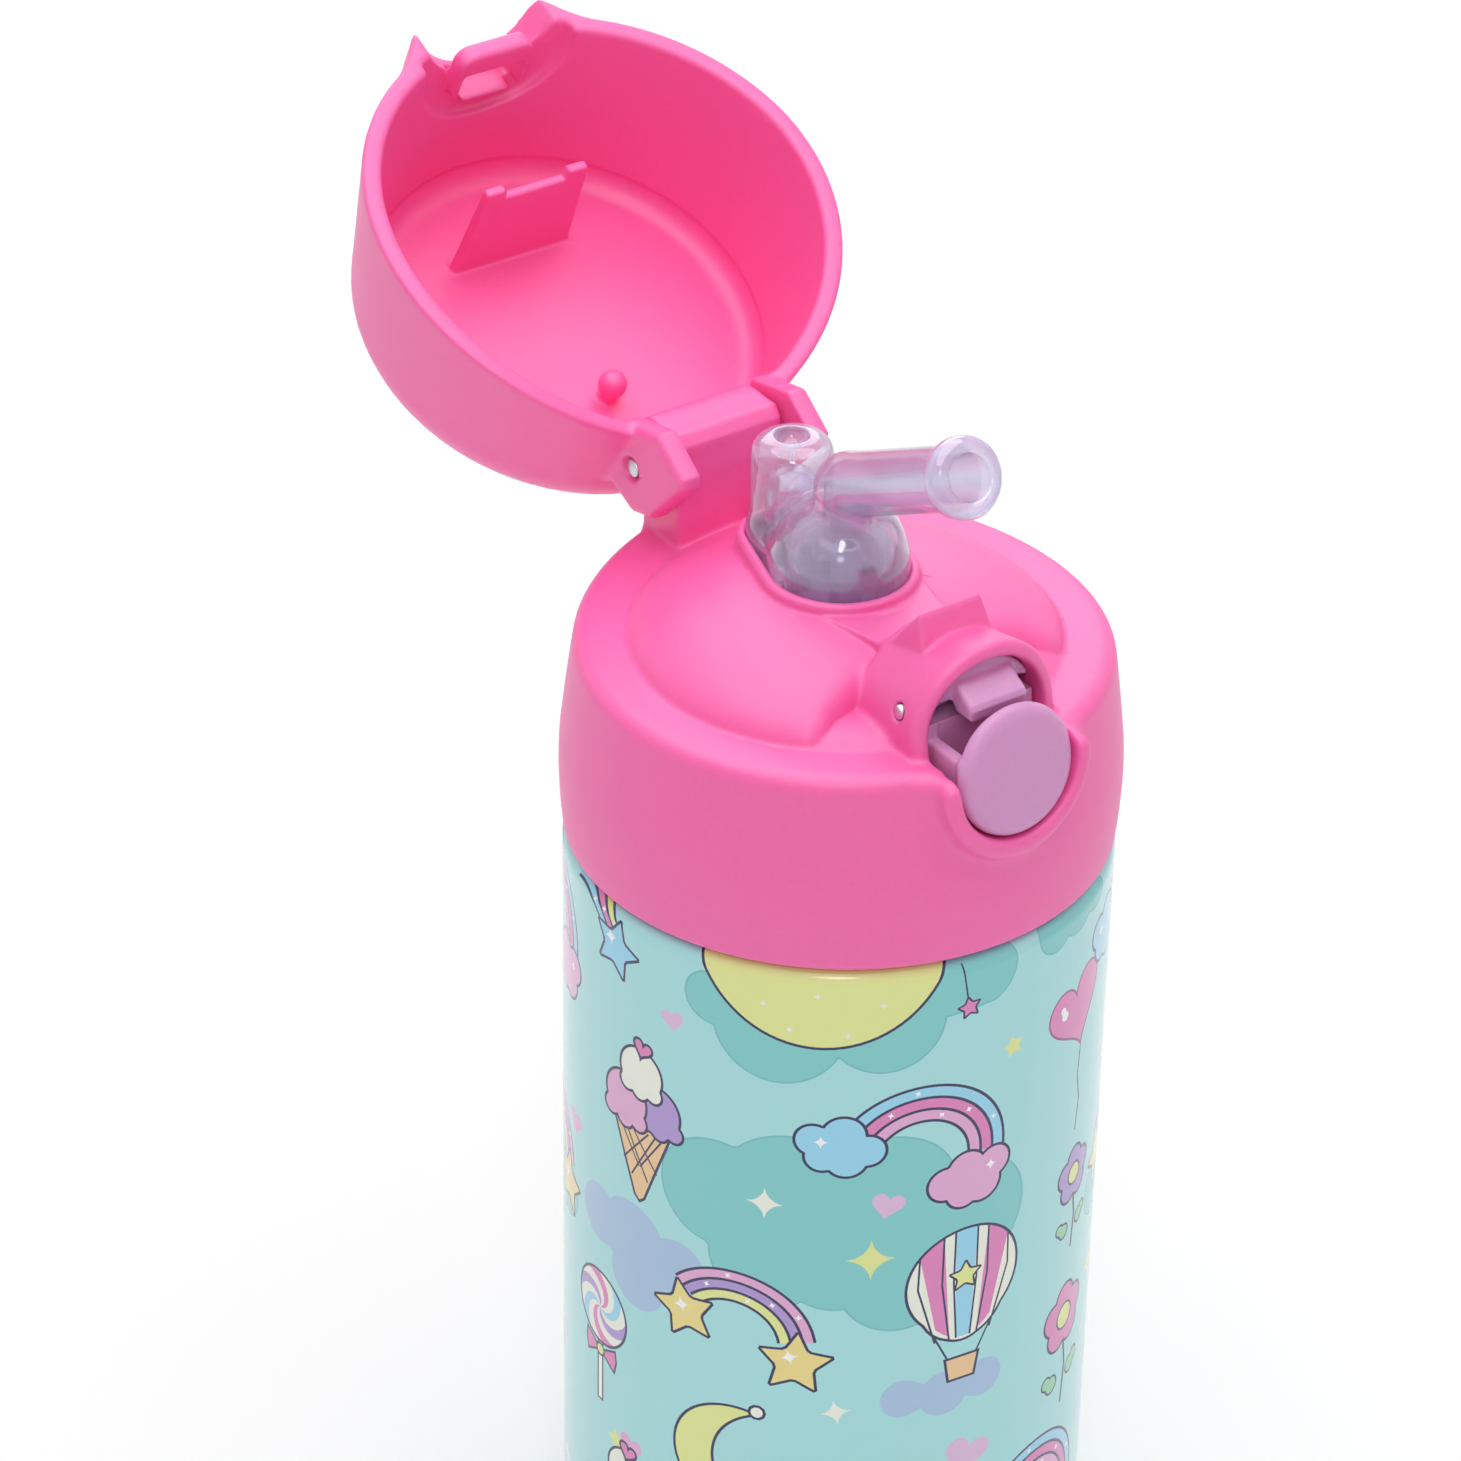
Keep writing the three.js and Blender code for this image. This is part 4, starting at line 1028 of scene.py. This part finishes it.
def heart_balloon(u, z, size):
    tip, low = u + 0.22 * size, z - 1.04 * size
    thread([(tip, low), (tip - 0.4, low - 5), (tip + 0.4, low - 9), (tip - 0.3, low - 14)], 0.26, 3)
    inked(heart(u, z, size, 12), "rose", 4, "plum", 0.36)
    art.fill(merged(u - size * 0.5, z + size * 0.05, [(0, 0, 0.75), (-0.5, 1.1, 0.55)], 24), "white", 7)


def crescent(u, z, radius):
    outline = ring_points(u, z, radius, 70, 290, 40)
    outline += ring_points(u + radius * 0.62, z, radius * 0.96, 256, 104, 34)
    inked(outline, "lemon", 5)
    inked(ring_points(u + radius * 0.36, z + radius * 0.98, 1.1), "cream", 8)


def half_pattern():
    """One half of the way round; Artwork repeats it behind."""
    soft_cloud(-20, 88, [(-19, 4, 8.5), (-9, 6, 9.5), (4, 6, 9.5), (15, 0, 9.5), (6, -8, 8.5),
            (-3, -5, 7.5), (-12, -5, 8)])
    soft_cloud(-25, 122, [(-15, 1, 4.0), (-6, -1, 9.0), (8, 0, 8.0), (21, 5, 5.5)])
    small_cloud(-52, 76, [(-8, 2, 4.5), (-1, 2, 6.0), (7, 1, 4.5), (0, -4, 5.0)])
    small_cloud(-7, 59, [(-6, 0.5, 3.0), (0, 0, 3.6), (6, 0.5, 3.0)])
    soft_cloud(14, 128, [(-5, 0, 3.4), (0, 1, 4), (5, 1, 3.2)])
    soft_cloud(35, 76, [(-8, 0, 5), (0, 3, 7), (8, -1, 5), (1, -4, 6)])
    inked(ring_points(-25.6, 135.3, 17.4, 0, 360, 90), "lemon", 2)
    for u, z in ((-33, 124), (-29.5, 120.5), (-22, 120), (-17.5, 124.5), (-26, 126)):
        art.fill(sparkle(u, z, 0.6), "cream", 3)
    thread([(-6.9, 129.0), (-6.0, 123.6)], 0.24, 3)
    inked(star(-5.7, 122.0, 1.75, 10), "rose", 3, width=0.28)
    cloud_rainbow(-11.5, 98.8)
    star_rainbow(-36.5, 68.3)
    ice_cream(-51.5, 97.5)
    lollipop(-60, 62)
    air_balloon(-4.5, 77.5)
    heart_balloon(15.2, 112.4, 6.6)
    flower(17, 84, 0.9, "violet")
    flower(16.5, 60, 1.1, "rose")
    rainbow(-66, 121, 11.5, 7.6, 18, 100, ["lemon", "rose", "sky"])
    inked(star(-56.6, 123.4, 4.9, -14, 0.5), "sky", 5)
    shine(-57.6, 124.6, 1.2)
    crescent(-36, 48, 9)
    for u, z, size, colour, turn in ((-32.3, 92.2, 2.5, "cream", 0), (-18, 83.7, 3.3, "lemon", 0),
            (-22.1, 58.1, 2.1, "cream", 10), (30, 96, 2.6, "cream", 0), (27, 62, 2.4, "lemon", 0),
            (-48, 40, 2.2, "cream", 0)):
        art.fill(sparkle(u, z, size, turn), colour, 2)
    for u, z, size, colour, turn in ((-46, 117.2, 1.8, "pale", 10), (-16, 92.5, 2.3, "pale", -14),
            (-3.1, 46.9, 3.6, "pale", -20), (-68, 88, 2.2, "blush", 0), (34, 104, 2.2, "blush", 12)):
        art.fill(heart(u, z, size, turn), colour, 2)
    for u, z, size in ((1.6, 113.2, 1.8), (-56, 41.2, 2.0), (38, 60, 1.9)):
        art.fill(star(u, z, size, 12), "lemon", 2)
    soft_cloud(-38, 19, [(-8, 0, 4.5), (0, 2, 6), (8, 0, 4.5), (1, -3, 4)])
    small_cloud(28, 18, [(-7, 0, 3.6), (0, 1.5, 5), (7, 0, 3.8)])
    for u, z, size, colour in ((-8, 17, 2.4, "cream"), (21, 27, 2.2, "lemon"), (42, 26, 2.2, "cream"),
            (-47, 13.5, 1.8, "lemon")):
        art.fill(sparkle(u, z, size), colour, 2)
    for u, z, size, turn in ((2, 14, 2.2, -12), (-30, 13.5, 2.0, 14), (48, 14, 2.0, 8), (-53, 42, 2.2, -8)):
        art.fill(heart(u, z, size, turn), "blush", 2)
    inked(star(14.5, 13.6, 3.0, 8), "gold", 2)
    inked(star(-20, 12.6, 2.4, -10), "sky", 2)
    cloud_rainbow(36, 116)
    star_rainbow(35, 78)
    cloud_rainbow(10, 30)
    star_rainbow(-22, 24)
    heart_balloon(34, 44, 5.5)
    ice_cream(-54, 28)


half_pattern()
INKS = {
    "teal": (128, 205, 205), "teal_edge": (112, 190, 196), "lilac": (168, 196, 226), "lemon": (226, 232, 150),
    "cream": (238, 240, 228), "gold": (236, 218, 140), "rose": (224, 130, 188), "blush": (226, 170, 212),
    "violet": (176, 150, 212), "sky": (152, 214, 240), "pale": (222, 186, 220), "white": (248, 248, 250),
    "wafer": (236, 200, 150), "leaf": (150, 212, 170), "ink": (38, 34, 84), "plum": (150, 80, 130),
}
PALETTE = {name: paint("print_" + name, rgb) for name, rgb in INKS.items()}
shell = bottle_shell(art, PALETTE)
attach(shell, "bottle")
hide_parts("outer_shell")

FINISHES = {
    "steel": STEEL, "soft_grey": GREY, "white_plastic": WHITE, "body_paint": MINT, "lid_plastic": PINK,
    "button_plastic": LILAC, "clear_silicone": SILICONE,
}
slots = {part["node"]: part["material_slot"] for part in frame["record"]["subparts"]}
for name, obj in frame["nodes"].items():
    obj.data.materials.clear()
    # The white plastic retainer under the dome gets the same dark lavender: painted shade.
    obj.data.materials.append(DOME_SHADE if name == "mouthpiece_retainer" else FINISHES[slots[name]])


# Floor, light and camera.
def area_light(name, place, target, size, power):
    data = bpy.data.lights.new(name, "AREA")
    data.shape = "DISK"
    data.size = size
    data.energy = power
    lamp = bpy.data.objects.new(name, data)
    lamp.location = place
    lamp.rotation_mode = "QUATERNION"
    lamp.rotation_quaternion = (Vector(target) - Vector(place)).to_track_quat("-Z", "Y")
    bpy.context.scene.collection.objects.link(lamp)


floor_mesh = bpy.data.meshes.new("floor")
floor_mesh.from_pydata([(-6, -6, 0), (6, -6, 0), (6, 6, 0), (-6, 6, 0)], [], [(0, 1, 2, 3)])
floor = bpy.data.objects.new("floor", floor_mesh)
floor.location.z = -0.0004
floor_paint, tree, main = principled("floor")
main.inputs["Base Color"].default_value = (0.92, 0.92, 0.92, 1)
main.inputs["Roughness"].default_value = 0.8
# Far from the object, past the lamps' reach, the floor fades into the white background for the camera only.
reach = node(tree, "VectorMath")
reach.operation = "LENGTH"
tree.links.new(node(tree, "NewGeometry").outputs["Position"], reach.inputs[0])
fade = mapped(tree, reach.outputs["Value"], 0.0, 0.8, From_Min=0.3, From_Max=1.8)
fade.node.interpolation_type = "SMOOTHSTEP"
glow = calculated(tree, "MULTIPLY", node(tree, "LightPath").outputs["Is Camera Ray"], fade)
main.inputs["Emission Color"].default_value = (1, 1, 1, 1)
tree.links.new(glow, main.inputs["Emission Strength"])
floor_mesh.materials.append(floor_paint)
bpy.context.scene.collection.objects.link(floor)

# The white surroundings light matt surfaces less than they show in gloss and to the camera.
world = bpy.data.worlds.new("studio")
world.use_nodes = True
tree = world.node_tree
tree.nodes["Background"].inputs["Color"].default_value = (1, 1, 1, 1)
strength = mapped(tree, node(tree, "LightPath").outputs["Is Diffuse Ray"], 1.0, 0.42)
tree.links.new(strength, tree.nodes["Background"].inputs["Strength"])
bpy.context.scene.world = world
area_light("overhead", (0, 0, 1.1), (0, 0, 0.1), 1.4, 9.2)
area_light("key", (-0.55, -0.75, 0.95), (0, 0, 0.14), 0.3, 1.6)
area_light("rear", (0.5, 0.95, 0.8), (0, 0, 0.15), 1.0, 3.6)
bpy.context.scene.view_settings.view_transform = "Standard"

camera_data = bpy.data.cameras.new("camera")
camera_data.lens = 134.4
camera_data.sensor_width = 36
camera_data.clip_start = 0.01
camera = bpy.data.objects.new("camera", camera_data)
FORWARD = Vector((0.4966, 0.6830, -0.5357)).normalized()
ROLL = 0.0163
camera.location = (-0.3676, -0.4808, (BASE + 396.6) * MM)
level = FORWARD.cross(Vector((0, 0, 1))).normalized()
up = level.cross(FORWARD)
right = level * cos(ROLL) + up * sin(ROLL)
up = right.cross(FORWARD)
camera.matrix_world = Matrix.Translation(camera.location) @ Matrix((right, up,
        -FORWARD)).transposed().to_4x4()
bpy.context.scene.collection.objects.link(camera)
bpy.context.scene.camera = camera
